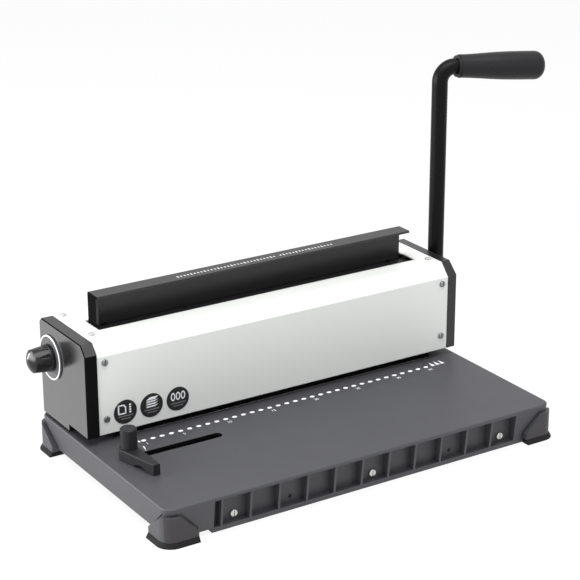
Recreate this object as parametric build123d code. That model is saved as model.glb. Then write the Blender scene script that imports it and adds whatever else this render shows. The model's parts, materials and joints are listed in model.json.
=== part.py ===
from build123d import *
import math
import os

# A desk machine that punches a row of square holes and closes wire loops.
# Lengths are in millimetres. The machine is drawn about the middle of its base,
# with X to the right, Y to the back and Z up from the table, and is moved at the
# end so that the origin lies under the middle of its whole outline.

# Driving dimensions of the base and of the housing above it
base_width = 367.0
base_depth = 214.0
tray_height = 30.5
hole_pitch = 25.4 / 3
hole_row_margin = 43.8
hole_size = 4.0
hole_row_offset = 0.65
housing_height = 85.0
housing_depth = 79.5
housing_back_inset = 2.4
left_cover_thickness = 10.6
right_cover_thickness = 9.0
left_cover_inset = 2.0
right_cover_inset = 1.3

# Named clearances and cut overruns
overrun = 1.0
running_gap = 0.05
sliding_gap = 0.1
body_gap = 0.4
seat_gap = 0.3

# Base shell
tray_plate = 3.0
base_wall = 2.6
base_corner_radius = 8.5
base_edge_radius = 1.4
side_wall_clear = 6.5
front_wall_clear = 4.2
wall_draft = 6.5
pocket_depth = 9.3
rib_count = 12
rib_pitch = 25.65
pocket_end_gap = 6.8
rib_thickness = 2.0
rib_row_offset = 6.5
ledge_clear = 0.5
ledge_thickness = 3.8
ledge_overhang = 1.5
foot_reach_x = 26.7
foot_reach_y = 24.5
foot_drop = 6.5
foot_shoulder_x = 11.5
foot_shoulder_y = 6.0
foot_slant_height = 9.0
foot_proud = 2.2
groove_width = 1.6
groove_depth = 1.0
boss_radius = 4.6
boss_inset_x = 34.0
boss_front_reach = 30.0
boss_back_reach = 17.1
chassis_boss_radius = 3.0
chassis_boss_front = 37.0
chassis_boss_back = 71.0
front_screw_height = 9.0
front_screw_bay_shares = (0.5, 5.5, 10.5)
front_hole_bay_shares = (2.5, 8.5)
front_hole_radius = 1.6

# Rubber feet
pad_height = 4.0
pad_flare = 4.6
pad_plug_height = 4.0
pad_top_flare = 2.3

# Screws, each as head radius, head height, shank radius and shank length
pan_head_radius = 3.2
pan_head_height = 2.2
pan_shank_radius = 1.9
pan_shank_length = 7.5
small_head_radius = 2.7
small_head_height = 1.7
small_shank_radius = 1.4
small_shank_length = 4.0
small_long_length = 8.0
cap_head_radius = 3.6
cap_head_height = 3.4
cap_shank_radius = 2.0
drive_slot_width = 0.8
drive_slot_depth = 0.9
head_edge_radius = 0.6

# Bottom plate, chassis plate and side frames
bottom_sheet = 1.2
bottom_edge_gap = 0.6
bottom_flange_height = 9.0
drawer_rail_height = 4.0
chassis_sheet = 2.5
chassis_front_margin = 1.6
chassis_chip_slot = 9.0
frame_sheet = 3.0
flange_sheet = 2.0
flange_reach = 14.0
frame_raise = 7.2
frame_step_reach = 31.0
frame_tab_front = 35.0
frame_tab_back = 71.0
frame_window_back = 73.5
tie_radius = 5.0
tie_inset_back = 8.6
low_tie_height = 19.5
high_tie_height = 69.5

# Punch tooling
punch_line_depth = 12.0
tool_half_depth = 7.2
tool_end_margin = 14.5
tool_spacer_width = 7.4
die_thickness = 8.0
paper_slot = 3.0
guide_thickness = 8.0
guide_chamfer = 2.0
edge_margin = 2.1
tool_bolt_inset = 3.7
pin_retract = 0.6
pin_head_size = 5.6
pin_head_height = 2.0
pin_plate_thickness = 4.0
pin_plate_end_margin = 6.0
punch_stroke = 8.0
beam_height = 20.0
beam_half_depth = 6.5
arm_width = 7.0
arm_thickness = 10.0
arm_back_reach = 14.0
beam_screw_length = 23.5
beam_screw_inset = 3.0

# Drive shaft and what it carries
shaft_radius = 6.0
shaft_back = 44.5
shaft_height = 33.0
lever_range = 75.0
collar_radius = 10.0
collar_width = 4.0
bush_radius = 8.5
bush_flange_radius = 11.0
bush_flange_thickness = 2.0
rack_pitch_radius = 15.0
gear_teeth = 20
pressure_angle = 20.0
backlash = 0.15
root_clearance_share = 0.25
rack_phase_share = 0.5
curve_point_shares = (0, 0.25, 0.5, 0.75, 1)
rack_tooth_low_count = 2
rack_tooth_high_count = 6
pinion_width = 8.0
pinion_hub_radius = 10.0
pinion_hub_width = 5.0
cam_width = 6.0
cam_rest_lift = 9.0
cam_disc_share = 0.975
cam_lead_angle = 25.0
cam_over_angle = 5.0
cam_point_count = 10
finger_width = 3.0
finger_length = 22.0
finger_half_height = 3.0
finger_hub_radius = 9.5
finger_rest_angle = -43.5

# Positions along the shaft, from the inner face of a side frame inwards
finger_inset = 0.5
cam_inset = 4.0
rod_inset = 17.0
rack_inset = 23.9
rack_width = 10.0

# Guide rods and their springs
rod_back_from_front = 26.0
rod_radius = 4.0
rod_spigot_radius = 2.6
rod_collar_radius = 6.4
rod_collar_height = 3.0
rod_collar_lift = 27.0
eye_half = 6.4
spring_wire = 1.0
spring_mean_radius = 5.2

# Wire closer
closer_sheet = 2.0
closer_top = 110.8
closer_depth = 17.0
closer_back = 49.0
closer_left_inset = 18.9
closer_right_inset = 19.6
closer_end_plate_lift = 86.0
closer_end_plate_depth = 14.6
rack_leg_depth = 10.0
rack_leg_bottom = 22.0
slide_top = 76.0
slide_bar_height = 6.0
neck_depth = 10.0
neck_top = 82.0
anvil_top = 80.5
anvil_sheet = 3.0
anvil_front = 19.0
anvil_back = 44.9
anvil_tab_drop = 13.0
anvil_tab_sheet = 2.4
anvil_screw_shares = (0.25, 0.75)

# Housing covers
cover_sheet = 1.2
cover_bend_radius = 1.0
cover_lift = 7.0
cover_chamfer_depth = 10.0
cover_chamfer_height = 11.0
cover_back_lip = 9.0
window_front = 27.5
window_back = 52.0
window_left_inset = 17.4
window_right_inset = 16.0
rear_clear = 1.6
side_wall_sheet = 2.4
left_cover_proud = 2.0
left_chamfer_depth = 7.2
left_chamfer_height = 8.0
right_cover_proud = 0.6
right_chamfer_depth = 11.0
right_chamfer_height = 10.5
side_top_proud = 0.3
side_step_reach = 33.0
side_step_lift = 1.6
side_edge_radius = 1.0
left_back_chamfer = 3.6
right_back_chamfer = 1.2
post_radius = 3.6
front_screw_heights = (20.0, 68.5)
top_screw_front_reach = 21.5
top_screw_back_reach = 72.0
cover_screw_left_inset = 7.5
cover_screw_right_inset = 6.5
rear_screw_low_height = 12.0
rear_screw_high_height = 56.0
post_low_front = 10.8
post_high_front = 12.0
post_high_drop = 18.0
post_back = 14.4
post_top_drop = 7.5

# Adjusting knob and its stop
knob_back = 58.9
knob_height = 56.8
dial_radius = 18.6
dial_thickness = 1.2
knob_base_radius = 11.0
knob_tip_radius = 9.4
knob_skirt_radius = 11.6
knob_skirt_length = 2.4
knob_length = 19.6
knob_dome = 3.3
knob_flutes = 9
flute_radius = 3.0
flute_bite = 1.0
knob_shaft_radius = 3.0
knob_socket_depth = 9.0
stop_cam_steps = 6
stop_cam_small_radius = 6.0
stop_cam_large_radius = 9.5
stop_cam_step_angle = 45.0

# Lever
lever_offset = 10.1
lever_rod_radius = 7.0
lever_hub_radius = 13.0
lever_hub_gap = 1.5
lever_hub_width = 16.8
lever_neck_radius = 8.0
lever_rod_seat = 2.0
lever_weld_radius = 8.4
lever_corner_height = 250.2
lever_bend_radius = 13.0
grip_turn = 13.0
grip_droop = 4.0
grip_start = 15.0
grip_length = 83.0
grip_neck_radius = 10.2
grip_full_radius = 12.6
grip_swell_share = 0.42
grip_swell_drop = 0.8
grip_round = 8.0
grip_collar_radius = 9.4
grip_collar_length = 2.4
grip_wall_end = 10.0
set_screw_radius = 2.0
set_screw_length = 6.5

# Side guide that slides in the tray
guide_line = 36.0
guide_left_offset = 25.0
slot_width = 8.5
slot_end_margin = 0.4
slot_right_offset = 58.7
guide_arm_front = 38.5
guide_arm_height = 9.5
guide_arm_tip_width = 5.8
guide_face_offset = 6.5
guide_boss_radius = 8.0
guide_arch_rise = 3.2
guide_arch_end = 7.0
guide_knob_radius = 6.7
guide_knob_height = 16.8
guide_knob_edge = 0.9
guide_edge_radius = 0.8
stud_radius = 2.5
nut_size = 15.0
nut_thickness = 4.0
nut_key_drop = 0.4
nut_key_length = 12.0
stud_end_run = 2.0

# Chip tray under the punch
chip_wall = 1.5
chip_height = 10.5
chip_lift = 0.4
chip_width = 28.0
chip_left_margin = 23.5
chip_front_plate = 2.6
chip_lip = 5.0
chip_lip_thickness = 2.0
chip_opening_gap = 0.6
chip_top_rim = 1.5

# Places worked out from the driving dimensions
half_width = base_width / 2
half_depth = base_depth / 2
tray_top = tray_height
tray_under = tray_top - tray_plate
housing_back = half_depth - housing_back_inset
housing_front = housing_back - housing_depth
housing_top = tray_top + housing_height
left_outer = -half_width + left_cover_inset
right_outer = half_width - right_cover_inset
cover_left = left_outer + left_cover_thickness
cover_right = right_outer - right_cover_thickness
housing_middle = (cover_left + cover_right) / 2
frame_left_inner = cover_left + frame_sheet
hole_count = round((base_width - 2 * hole_row_margin) / hole_pitch) + 1
first_hole_x = -hole_pitch * (hole_count - 1) / 2 + housing_middle + hole_row_offset
hole_places = [first_hole_x + hole_pitch * k for k in range(hole_count)]
tool_left = hole_places[0] - tool_end_margin - hole_size / 2
tool_right = hole_places[-1] + tool_end_margin + hole_size / 2
punch_y = housing_front + punch_line_depth
tool_front = punch_y - tool_half_depth
tool_back = punch_y + tool_half_depth
chassis_top = tray_top - die_thickness
chassis_bottom = chassis_top - chassis_sheet
shaft_y = housing_front + shaft_back
shaft_z = tray_top + shaft_height
lever_angle = math.radians(lever_range)
closer_stroke = rack_pitch_radius * lever_angle
cam_base_radius = punch_stroke / lever_angle
rod_y = housing_front + rod_back_from_front
rod_x = frame_left_inner + rod_inset
rack_left = frame_left_inner + rack_inset
rack_right = rack_left + rack_width
arm_left = frame_left_inner + cam_inset
follower_z = shaft_z - cam_rest_lift - sliding_gap
arm_bottom = follower_z - arm_thickness
anvil_z = tray_top + anvil_top
web_back = housing_front + closer_back
web_front = web_back - closer_sheet
slide_z = tray_top + slide_top
slide_bar_bottom = slide_z - slide_bar_height
knob_y = housing_front + knob_back
knob_z = tray_top + knob_height
lever_x = right_outer + lever_offset


def block(x0, x1, y0, y1, z0, z1):
    """A box between two corners."""
    solid = Box(x1 - x0, y1 - y0, z1 - z0, align=(Align.MIN, Align.MIN, Align.MIN))
    return Pos(x0, y0, z0) * solid


def bar_x(radius, x0, x1, y, z):
    """A round bar along X."""
    return extrude(Plane.YZ.offset(x0) * Pos(y, z) * Circle(radius), amount=x1 - x0)


def bar_y(radius, y0, y1, x, z):
    """A round bar along Y."""
    return extrude(Plane.XZ.offset(-y0) * Pos(x, z) * Circle(radius), amount=y1 - y0, dir=(0, 1, 0))


def bar_z(radius, x, y, z0, z1):
    """A round bar along Z."""
    return extrude(Plane.XY.offset(z0) * Pos(x, y) * Circle(radius), amount=z1 - z0)


def profile_x(points, x0, x1):
    """An outline of (y, z) points carried along X."""
    face = make_face(Polyline(*points, close=True))
    return extrude(Plane.YZ.offset(x0) * face, amount=x1 - x0, dir=(1, 0, 0))


def profile_y(points, y0, y1):
    """An outline of (x, z) points carried along Y."""
    face = make_face(Polyline(*points, close=True))
    return extrude(Plane.XZ.offset(-y0) * face, amount=y1 - y0, dir=(0, 1, 0))


def profile_z(points, z0, z1):
    """An outline of (x, y) points carried along Z."""
    face = make_face(Polyline(*points, close=True))
    return extrude(Plane.XY.offset(z0) * face, amount=z1 - z0, dir=(0, 0, 1))


def inset_path(points, distance):
    """The open path that runs beside another at a steady distance, on its right-hand side."""
    steps = [(b[0] - a[0], b[1] - a[1]) for a, b in zip(points, points[1:])]
    normals = [(v / math.hypot(u, v), -u / math.hypot(u, v)) for u, v in steps]
    normals = [normals[0]] + normals + [normals[-1]]
    moved = []
    for (p, q), (a, b), (c, d) in zip(points, normals, normals[1:]):
        reach = distance / (1 + a * c + b * d)
        moved.append((p + reach * (a + c), q + reach * (b + d)))
    return moved


def lean(z):
    """How far the drafted walls of the base have drawn in at a height."""
    return (tray_top - z) * math.tan(math.radians(wall_draft))


def drafted(inset, z0, z1):
    """The rounded plan of the base between two heights, drawing in downwards with its walls."""
    reach = inset + lean(z1)
    plan = RectangleRounded(base_width - 2 * reach, base_depth - 2 * reach, base_corner_radius - reach)
    return extrude(Plane(origin=(0, 0, z1), z_dir=(0, 0, -1)) * plan, amount=z1 - z0, taper=wall_draft)


def mirrored(solid):
    """The right-hand twin of a left-hand piece inside the housing."""
    return solid.mirror(Plane.YZ.offset(housing_middle))


def screw(head_radius, head_height, shank_radius, shank_length):
    """A slotted round-head screw whose head stands up from Z = 0."""
    head = extrude(Circle(head_radius), amount=head_height)
    head = fillet(head.edges().group_by(Axis.Z)[-1], head_edge_radius)
    shank = extrude(Circle(shank_radius), amount=-shank_length)
    slot = block(-head_radius, head_radius, -drive_slot_width / 2, drive_slot_width / 2,
                 head_height - drive_slot_depth, head_height + overrun)
    return head + shank - slot


def placed(solid, point, outward):
    """A screw moved to its seat, its head facing outward."""
    return Plane(origin=point, z_dir=outward).location * solid


def small_screw():
    return screw(small_head_radius, small_head_height, small_shank_radius, small_shank_length)


def long_screw():
    return screw(small_head_radius, small_head_height, small_shank_radius, small_long_length)


def pan_screw():
    return screw(pan_head_radius, pan_head_height, pan_shank_radius, pan_shank_length)


def screws_at(maker, points, outward):
    """One screw at each point, all facing the same way."""
    return [placed(maker(), point, outward) for point in points]


# Places of the screws, shared by the pieces that they pass through
front_screw_bay_x = [rib_row_offset + (share - (rib_count - 1) / 2) * rib_pitch + rib_thickness / 2
                     for share in front_screw_bay_shares]
front_hole_bay_x = [rib_row_offset + (share - (rib_count - 1) / 2) * rib_pitch + rib_thickness / 2
                    for share in front_hole_bay_shares]
pocket_y = -half_depth + pocket_depth
cover_screw_x = (cover_left + cover_screw_left_inset, cover_right - cover_screw_right_inset)
front_screw_points = [(x, housing_front, tray_top + z) for x in cover_screw_x for z in front_screw_heights]
top_screw_points = [(x, housing_front + y, housing_top - side_top_proud)
                    for x in cover_screw_x for y in (top_screw_front_reach, top_screw_back_reach)]
rear_screw_points = [(x, housing_back, tray_top + z) for x in cover_screw_x
                     for z in (rear_screw_low_height, rear_screw_high_height)]
boss_points = [(side * (half_width - boss_inset_x), y)
               for side in (-1, 1) for y in (-half_depth + boss_front_reach, housing_front - boss_back_reach)]
chassis_boss_x = half_width - base_wall - lean(chassis_bottom - small_head_height) - chassis_boss_radius
chassis_boss_points = [(side * chassis_boss_x, housing_front + reach)
                       for side in (-1, 1) for reach in (chassis_boss_front, chassis_boss_back)]
frame_foot_points = [(x, housing_front + reach)
                     for x in (frame_left_inner + flange_reach / 2, 2 * housing_middle - frame_left_inner
                               - flange_reach / 2)
                     for reach in (chassis_boss_front + flange_reach / 2, chassis_boss_back - flange_reach / 2)]
post_places = [(housing_front + post_low_front, tray_top + frame_raise + post_low_front),
               (housing_front + post_high_front, housing_top - post_high_drop),
               (housing_back - post_back, housing_top - post_top_drop),
               (housing_back - post_back, tray_top + post_low_front)]
tie_places = [(housing_back - tie_inset_back, tray_top + low_tie_height),
              (housing_back - tie_inset_back, tray_top + high_tie_height)]
tool_bolt_places = [(x, punch_y) for x in (tool_left + tool_bolt_inset, tool_right - tool_bolt_inset)]
guide_x = hole_places[0] - guide_left_offset
guide_y = housing_front - guide_line
chip_middle_y = punch_y
chip_left = -half_width + chip_left_margin
rack_pitch_y = shaft_y - rack_pitch_radius
rack_leg_front = rack_pitch_y - rack_leg_depth
cover_top = housing_top - side_top_proud
closer_left = cover_left + closer_left_inset
closer_right = cover_right - closer_right_inset
frame_right_inner = 2 * housing_middle - frame_left_inner
first_rib_x = rib_row_offset - (rib_count - 1) / 2 * rib_pitch
pocket_left = first_rib_x - pocket_end_gap
pocket_right = first_rib_x + (rib_count - 1) * rib_pitch
pin_guide_bottom = tray_top + paper_slot
pin_guide_top = pin_guide_bottom + guide_thickness


# Base

def foot_wedge(side_x, side_y, grow):
    """The slanted corner block that a leg is cut from; grow widens it for its groove."""
    x_out = side_x * (half_width + pad_flare)
    x_in = side_x * (half_width - foot_reach_x - grow)
    x_top = side_x * (half_width - foot_shoulder_x - grow)
    y_out = side_y * (half_depth + pad_flare)
    y_in = side_y * (half_depth - foot_reach_y - grow)
    y_top = side_y * (half_depth - foot_shoulder_y - grow)
    top = tray_top - foot_drop + grow
    span = base_width
    along_x = profile_y([(x_out, pad_height), (x_in, pad_height), (x_in, foot_slant_height),
                         (x_top, top), (x_out, top)], -span, span)
    along_y = profile_x([(y_out, pad_height), (y_in, pad_height), (y_in, foot_slant_height),
                         (y_top, top), (y_out, top)], -span, span)
    return along_x & along_y


def footprint(grow, z0, z1):
    """The rounded plan of the base, grown all round."""
    plan = RectangleRounded(base_width + 2 * grow, base_depth + 2 * grow, base_corner_radius + grow)
    return extrude(Plane.XY.offset(z0) * plan, amount=z1 - z0)


def base_hollow():
    """The space inside the base and inside its four legs."""
    room = block(-half_width, half_width, pocket_y + base_wall, half_depth, 0, tray_under)
    room += block(-half_width, pocket_left - base_wall, -half_depth, half_depth, 0, tray_under)
    room += block(pocket_right + base_wall, half_width, -half_depth, half_depth, 0, tray_under)
    hollow = room & drafted(base_wall, 0, tray_under)
    leg_room = footprint(foot_proud - base_wall, 0, tray_under)
    for side_x in (-1, 1):
        for side_y in (-1, 1):
            hollow += leg_room & foot_wedge(side_x, side_y, -base_wall)
    return hollow


def tray_windows():
    """What is cut through the tray: the tooling, the side frames and the guide slot."""
    tool = block(tool_left - body_gap, tool_right + body_gap, tool_front - body_gap, tool_back + body_gap,
                 tray_under - overrun, tray_top + overrun)
    rod_left = rod_x - eye_half - body_gap
    rod_right = 2 * housing_middle - rod_left
    middle = block(rod_left, rod_right, tool_back, housing_front + frame_window_back,
                   tray_under - overrun, tray_top + overrun)
    frames = block(cover_left - body_gap, cover_right + body_gap, housing_front + frame_step_reach,
                   housing_front + frame_window_back, tray_under - overrun, tray_top + overrun)
    slot_left = guide_x - slot_width / 2 - slot_end_margin
    slot_right = hole_places[0] + slot_right_offset
    slot_plan = Pos((slot_left + slot_right) / 2, guide_y) * SlotOverall(slot_right - slot_left, slot_width)
    slot = extrude(Plane.XY.offset(tray_under - overrun) * slot_plan, amount=tray_plate + 2 * overrun)
    return [tool, middle, frames, slot]


def front_wall():
    """The set-back front wall with its ribs and the ledge along its foot."""
    ledge_top = ledge_clear + ledge_thickness
    ledge_front = -half_depth + lean(ledge_top)
    wall = block(pocket_left - base_wall, pocket_right + base_wall, pocket_y, pocket_y + base_wall,
                 front_wall_clear, tray_under)
    wall += block(pocket_left - ledge_overhang, half_width - foot_reach_x, ledge_front, pocket_y + base_wall,
                  ledge_clear, ledge_top)
    for k in range(rib_count):
        x = first_rib_x + k * rib_pitch
        wall += profile_x([(ledge_front, ledge_top), (-half_depth + lean(tray_under), tray_under),
                           (pocket_y, tray_under), (pocket_y, ledge_clear), (ledge_front, ledge_clear)],
                          x - rib_thickness / 2, x + rib_thickness / 2)
    return wall


def base_shell():
    """The moulded base: tray top, drafted walls, ribbed front and four hollow legs."""
    corners = [(side_x, side_y) for side_x in (-1, 1) for side_y in (-1, 1)]
    body = drafted(0, side_wall_clear, tray_top)
    body = fillet(body.edges().group_by(Axis.Z)[-1], base_edge_radius)
    front = block(-half_width + foot_reach_x, half_width - foot_reach_x, -half_depth, pocket_y + base_wall,
                  0, tray_under)
    body += front & drafted(0, front_wall_clear, tray_under)
    body -= block(pocket_left, pocket_right, -half_depth - overrun, pocket_y, 0, tray_under)
    skin = footprint(overrun, pad_height, tray_top) - drafted(groove_depth, 0, tray_top)
    for side_x, side_y in corners:
        body -= skin & foot_wedge(side_x, side_y, groove_width)
    leg_plan = footprint(foot_proud, pad_height, tray_top)
    for side_x, side_y in corners:
        body += leg_plan & foot_wedge(side_x, side_y, 0)
    body -= base_hollow()
    body += front_wall()
    for x, y in boss_points:
        body += bar_z(boss_radius, x, y, side_wall_clear + bottom_sheet, tray_under)
        body -= bar_z(small_shank_radius, x, y, 0, tray_under)
    for x, y in chassis_boss_points:
        body += bar_z(chassis_boss_radius, x, y, chassis_top, tray_under)
        body -= bar_z(small_shank_radius, x, y, 0, tray_under)
    for cut in tray_windows():
        body -= cut
    for x in front_screw_bay_x:
        body -= bar_y(pan_shank_radius + sliding_gap, -half_depth, -half_depth / 2, x, front_screw_height)
    for x in front_hole_bay_x:
        body -= bar_y(front_hole_radius, -half_depth, -half_depth / 2, x, front_screw_height)
    chip_half = chip_width / 2 + chip_opening_gap
    chip_top = side_wall_clear + bottom_sheet + chip_lift + chip_height + chip_opening_gap
    body -= block(half_width / 2, half_width + overrun, chip_middle_y - chip_half, chip_middle_y + chip_half,
                  0, chip_top)
    return body


def foot_pads():
    """Four rubber feet that flare to the table and plug into the legs."""
    flare_angle = math.degrees(math.atan2(pad_flare - pad_top_flare, pad_height))
    plan = RectangleRounded(base_width + 2 * pad_flare, base_depth + 2 * pad_flare, base_corner_radius + pad_flare)
    sheet = extrude(plan, amount=pad_height, taper=flare_angle)
    pads = []
    for sx in (-1, 1):
        for sy in (-1, 1):
            x_out = sx * (half_width + pad_flare + overrun)
            x_in = sx * (half_width - foot_reach_x)
            y_out = sy * (half_depth + pad_flare + overrun)
            y_in = sy * (half_depth - foot_reach_y)
            corner = block(min(x_out, x_in), max(x_out, x_in), min(y_out, y_in), max(y_out, y_in), 0, pad_height)
            plug_x = sorted((sx * (half_width - base_wall - seat_gap), x_in + sx * (base_wall + seat_gap)))
            plug_y = sorted((sy * (half_depth - base_wall - seat_gap), y_in + sy * (base_wall + seat_gap)))
            plug = block(*plug_x, *plug_y, pad_height, pad_height + pad_plug_height)
            plug = plug & footprint(foot_proud - base_wall - seat_gap, 0, tray_top)
            pads.append((sheet & corner) + plug)
    return pads


def bottom_plate():
    """The sheet under the base, turned up behind the front wall, with two drawer rails."""
    inset = base_wall + lean(side_wall_clear) + bottom_edge_gap
    edge_x = half_width - inset
    front_y = pocket_y + base_wall
    back_y = half_depth - inset
    top = side_wall_clear + bottom_sheet
    plate = block(-edge_x, edge_x, front_y, back_y, side_wall_clear, top)
    for sx in (-1, 1):
        for sy in (-1, 1):
            corner_x = sorted((sx * half_width, sx * (half_width - foot_reach_x)))
            corner_y = sorted((sy * half_depth, sy * (half_depth - foot_reach_y)))
            plate -= block(*corner_x, *corner_y, 0, tray_top)
    plate += block(pocket_left, pocket_right, front_y, front_y + bottom_sheet, side_wall_clear,
                   side_wall_clear + bottom_flange_height)
    for side in (-1, 1):
        y = chip_middle_y + side * (chip_width / 2 + chip_lift + bottom_sheet / 2)
        plate += block(chip_left, edge_x, y - bottom_sheet / 2, y + bottom_sheet / 2, top,
                       top + drawer_rail_height)
    for x, y in boss_points:
        plate -= bar_z(small_shank_radius + sliding_gap, x, y, 0, tray_under)
    for x in front_screw_bay_x:
        plate -= bar_y(pan_shank_radius, -half_depth, -half_depth / 2, x, front_screw_height)
    return plate


def bottom_screws():
    points = [(x, y, side_wall_clear) for x, y in boss_points]
    return screws_at(long_screw, points, (0, 0, -1))


def front_screws():
    points = [(x, pocket_y, front_screw_height) for x in front_screw_bay_x]
    return screws_at(pan_screw, points, (0, -1, 0))


# Steel chassis

def chassis_plate():
    """The plate under the tray that carries the tooling, the side frames and the guide rods."""
    inset = base_wall + lean(chassis_bottom) + bottom_edge_gap
    plate = block(-half_width + inset, half_width - inset, tool_front - chassis_front_margin, half_depth - inset,
                  chassis_bottom, chassis_top)
    plate -= block(hole_places[0] - hole_pitch / 2, hole_places[-1] + hole_pitch / 2,
                   punch_y - chassis_chip_slot / 2, punch_y + chassis_chip_slot / 2, 0, tray_top)
    for x, y in chassis_boss_points + frame_foot_points:
        plate -= bar_z(small_shank_radius + sliding_gap, x, y, 0, tray_top)
    for x, y in tool_bolt_places:
        plate -= bar_z(cap_shank_radius, x, y, 0, tray_top)
    for x in (rod_x, 2 * housing_middle - rod_x):
        plate -= bar_z(rod_spigot_radius, x, rod_y, 0, tray_top)
    for sx, sy in [(sx, sy) for sx in (-1, 1) for sy in (-1, 1)]:
        corner_x = sorted((sx * half_width, sx * (half_width - foot_reach_x)))
        corner_y = sorted((sy * half_depth, sy * (half_depth - foot_reach_y / 2)))
        plate -= block(*corner_x, *corner_y, 0, tray_top)
    return plate


def chassis_screws():
    """Screws up through the chassis plate into the tray and into the feet of the side frames."""
    points = [(x, y, chassis_bottom) for x, y in chassis_boss_points + frame_foot_points]
    return screws_at(small_screw, points, (0, 0, -1))


def housing_path(low):
    """The outside of the housing from the foot of its front, over the top, to its back."""
    return [(housing_front, low), (housing_front, cover_top - cover_chamfer_height),
            (housing_front + cover_chamfer_depth, cover_top), (housing_back, cover_top), (housing_back, low)]


def frame_plate():
    """The left side frame with the flanges that its covers are screwed to."""
    inner = inset_path(housing_path(tray_top + frame_raise), cover_sheet)
    front_y, back_y, top = inner[0][0], inner[3][0], inner[3][1]
    step_y = housing_front + frame_step_reach
    low = tray_top + seat_gap
    outline = inner[:4] + [(back_y, low), (step_y, low), (step_y, tray_top + frame_raise)]
    plate = profile_x(outline, cover_left, frame_left_inner)
    tab_front = housing_front + frame_tab_front
    tab_back = housing_front + frame_tab_back
    plate += block(cover_left, frame_left_inner, tab_front, tab_back, chassis_top, tray_top + overrun)
    reach = frame_left_inner + flange_reach
    plate += block(frame_left_inner, reach, tab_front, tab_back, chassis_top, chassis_top + flange_sheet)
    plate += block(frame_left_inner, reach, front_y, front_y + flange_sheet, tray_top + frame_raise, inner[1][1])
    plate += block(frame_left_inner, reach, inner[2][0], housing_front + window_front - flange_sheet,
                   top - flange_sheet, top)
    plate += block(frame_left_inner, reach, housing_front + window_back + flange_sheet, back_y,
                   top - flange_sheet, top)
    plate += block(frame_left_inner, reach, back_y - flange_sheet, back_y, low, top)
    return plate


def frame_cuts(screw_x):
    """The holes of a side frame, drawn for the left side."""
    x0 = cover_left - overrun
    x1 = frame_left_inner + overrun
    cuts = [bar_x(bush_radius, x0, x1, shaft_y, shaft_z)]
    cuts += [bar_z(small_shank_radius, x, y, 0, tray_top) for x, y in frame_foot_points]
    cuts += [bar_x(small_shank_radius + sliding_gap, x0, x1, y, z) for y, z in post_places]
    cuts += [bar_x(pan_shank_radius + sliding_gap, x0, x1, y, z) for y, z in tie_places]
    cuts += [bar_x(small_shank_radius + sliding_gap, x0, x1, y, z) for y, z in anvil_screw_places]
    for z in front_screw_heights:
        cuts.append(bar_y(small_shank_radius, housing_front, housing_front + flange_sheet + overrun * 2,
                          screw_x, tray_top + z))
    for reach in (top_screw_front_reach, top_screw_back_reach):
        cuts.append(bar_z(small_shank_radius, screw_x, housing_front + reach,
                          cover_top - cover_sheet - flange_sheet - overrun, cover_top))
    for z in (rear_screw_low_height, rear_screw_high_height):
        cuts.append(bar_y(small_shank_radius, housing_back - cover_sheet - flange_sheet - overrun, housing_back,
                          screw_x, tray_top + z))
    return cuts


anvil_screw_places = [(housing_front + share * anvil_back + (1 - share) * anvil_front,
                       anvil_z - anvil_tab_drop / 2 - overrun) for share in anvil_screw_shares]


def left_frame():
    plate = frame_plate()
    for cut in frame_cuts(cover_screw_x[0]):
        plate -= cut
    return plate - bar_x(knob_shaft_radius + running_gap, cover_left - overrun, frame_left_inner + overrun,
                         knob_y, knob_z)


def right_frame():
    plate = frame_plate()
    for cut in frame_cuts(2 * housing_middle - cover_screw_x[1]):
        plate -= cut
    return mirrored(plate)


def tie_bars():
    return [bar_x(tie_radius, frame_left_inner, frame_right_inner, y, z)
            - bar_x(pan_shank_radius, frame_left_inner, frame_left_inner + pan_shank_length, y, z)
            - bar_x(pan_shank_radius, frame_right_inner - pan_shank_length, frame_right_inner, y, z)
            for y, z in tie_places]


def tie_screws():
    left = screws_at(pan_screw, [(cover_left, y, z) for y, z in tie_places], (-1, 0, 0))
    right = screws_at(pan_screw, [(cover_right, y, z) for y, z in tie_places], (1, 0, 0))
    return left + right


def shaft_bushes():
    """Two flanged bushes that the drive shaft turns in."""
    bush = bar_x(bush_radius, cover_left, frame_left_inner, shaft_y, shaft_z)
    bush += bar_x(bush_flange_radius, cover_left - bush_flange_thickness, cover_left, shaft_y, shaft_z)
    bush -= bar_x(shaft_radius + running_gap, cover_left - overrun - bush_flange_thickness,
                  frame_left_inner + overrun, shaft_y, shaft_z)
    return [bush, mirrored(bush)]


# Punch tooling

def square_bars(size, z0, z1):
    """A square bar at the place of every hole."""
    return [block(x - size / 2, x + size / 2, punch_y - size / 2, punch_y + size / 2, z0, z1)
            for x in hole_places]


def bolt_bars(z0, z1):
    """The clearance holes of the two tool bolts."""
    return [bar_z(cap_shank_radius + sliding_gap, x, y, z0, z1) for x, y in tool_bolt_places]


def die_plate():
    """The hardened strip in the tray that the pins punch into."""
    plate = block(tool_left, tool_right, tool_front, tool_back, chassis_top, tray_top)
    plate -= square_bars(hole_size + 2 * sliding_gap, chassis_top - overrun, tray_top + overrun)
    return plate - bolt_bars(chassis_top - overrun, tray_top + overrun)


def paper_stop():
    """The strip that the sheets butt against, with a spacer at each end."""
    stop = block(tool_left, tool_right, punch_y + hole_size / 2 + edge_margin, tool_back, tray_top,
                 pin_guide_bottom)
    for x in (tool_left, tool_right - tool_spacer_width):
        stop += block(x, x + tool_spacer_width, tool_front, tool_back, tray_top, pin_guide_bottom)
    return stop - bolt_bars(tray_top - overrun, pin_guide_bottom + overrun)


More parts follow.
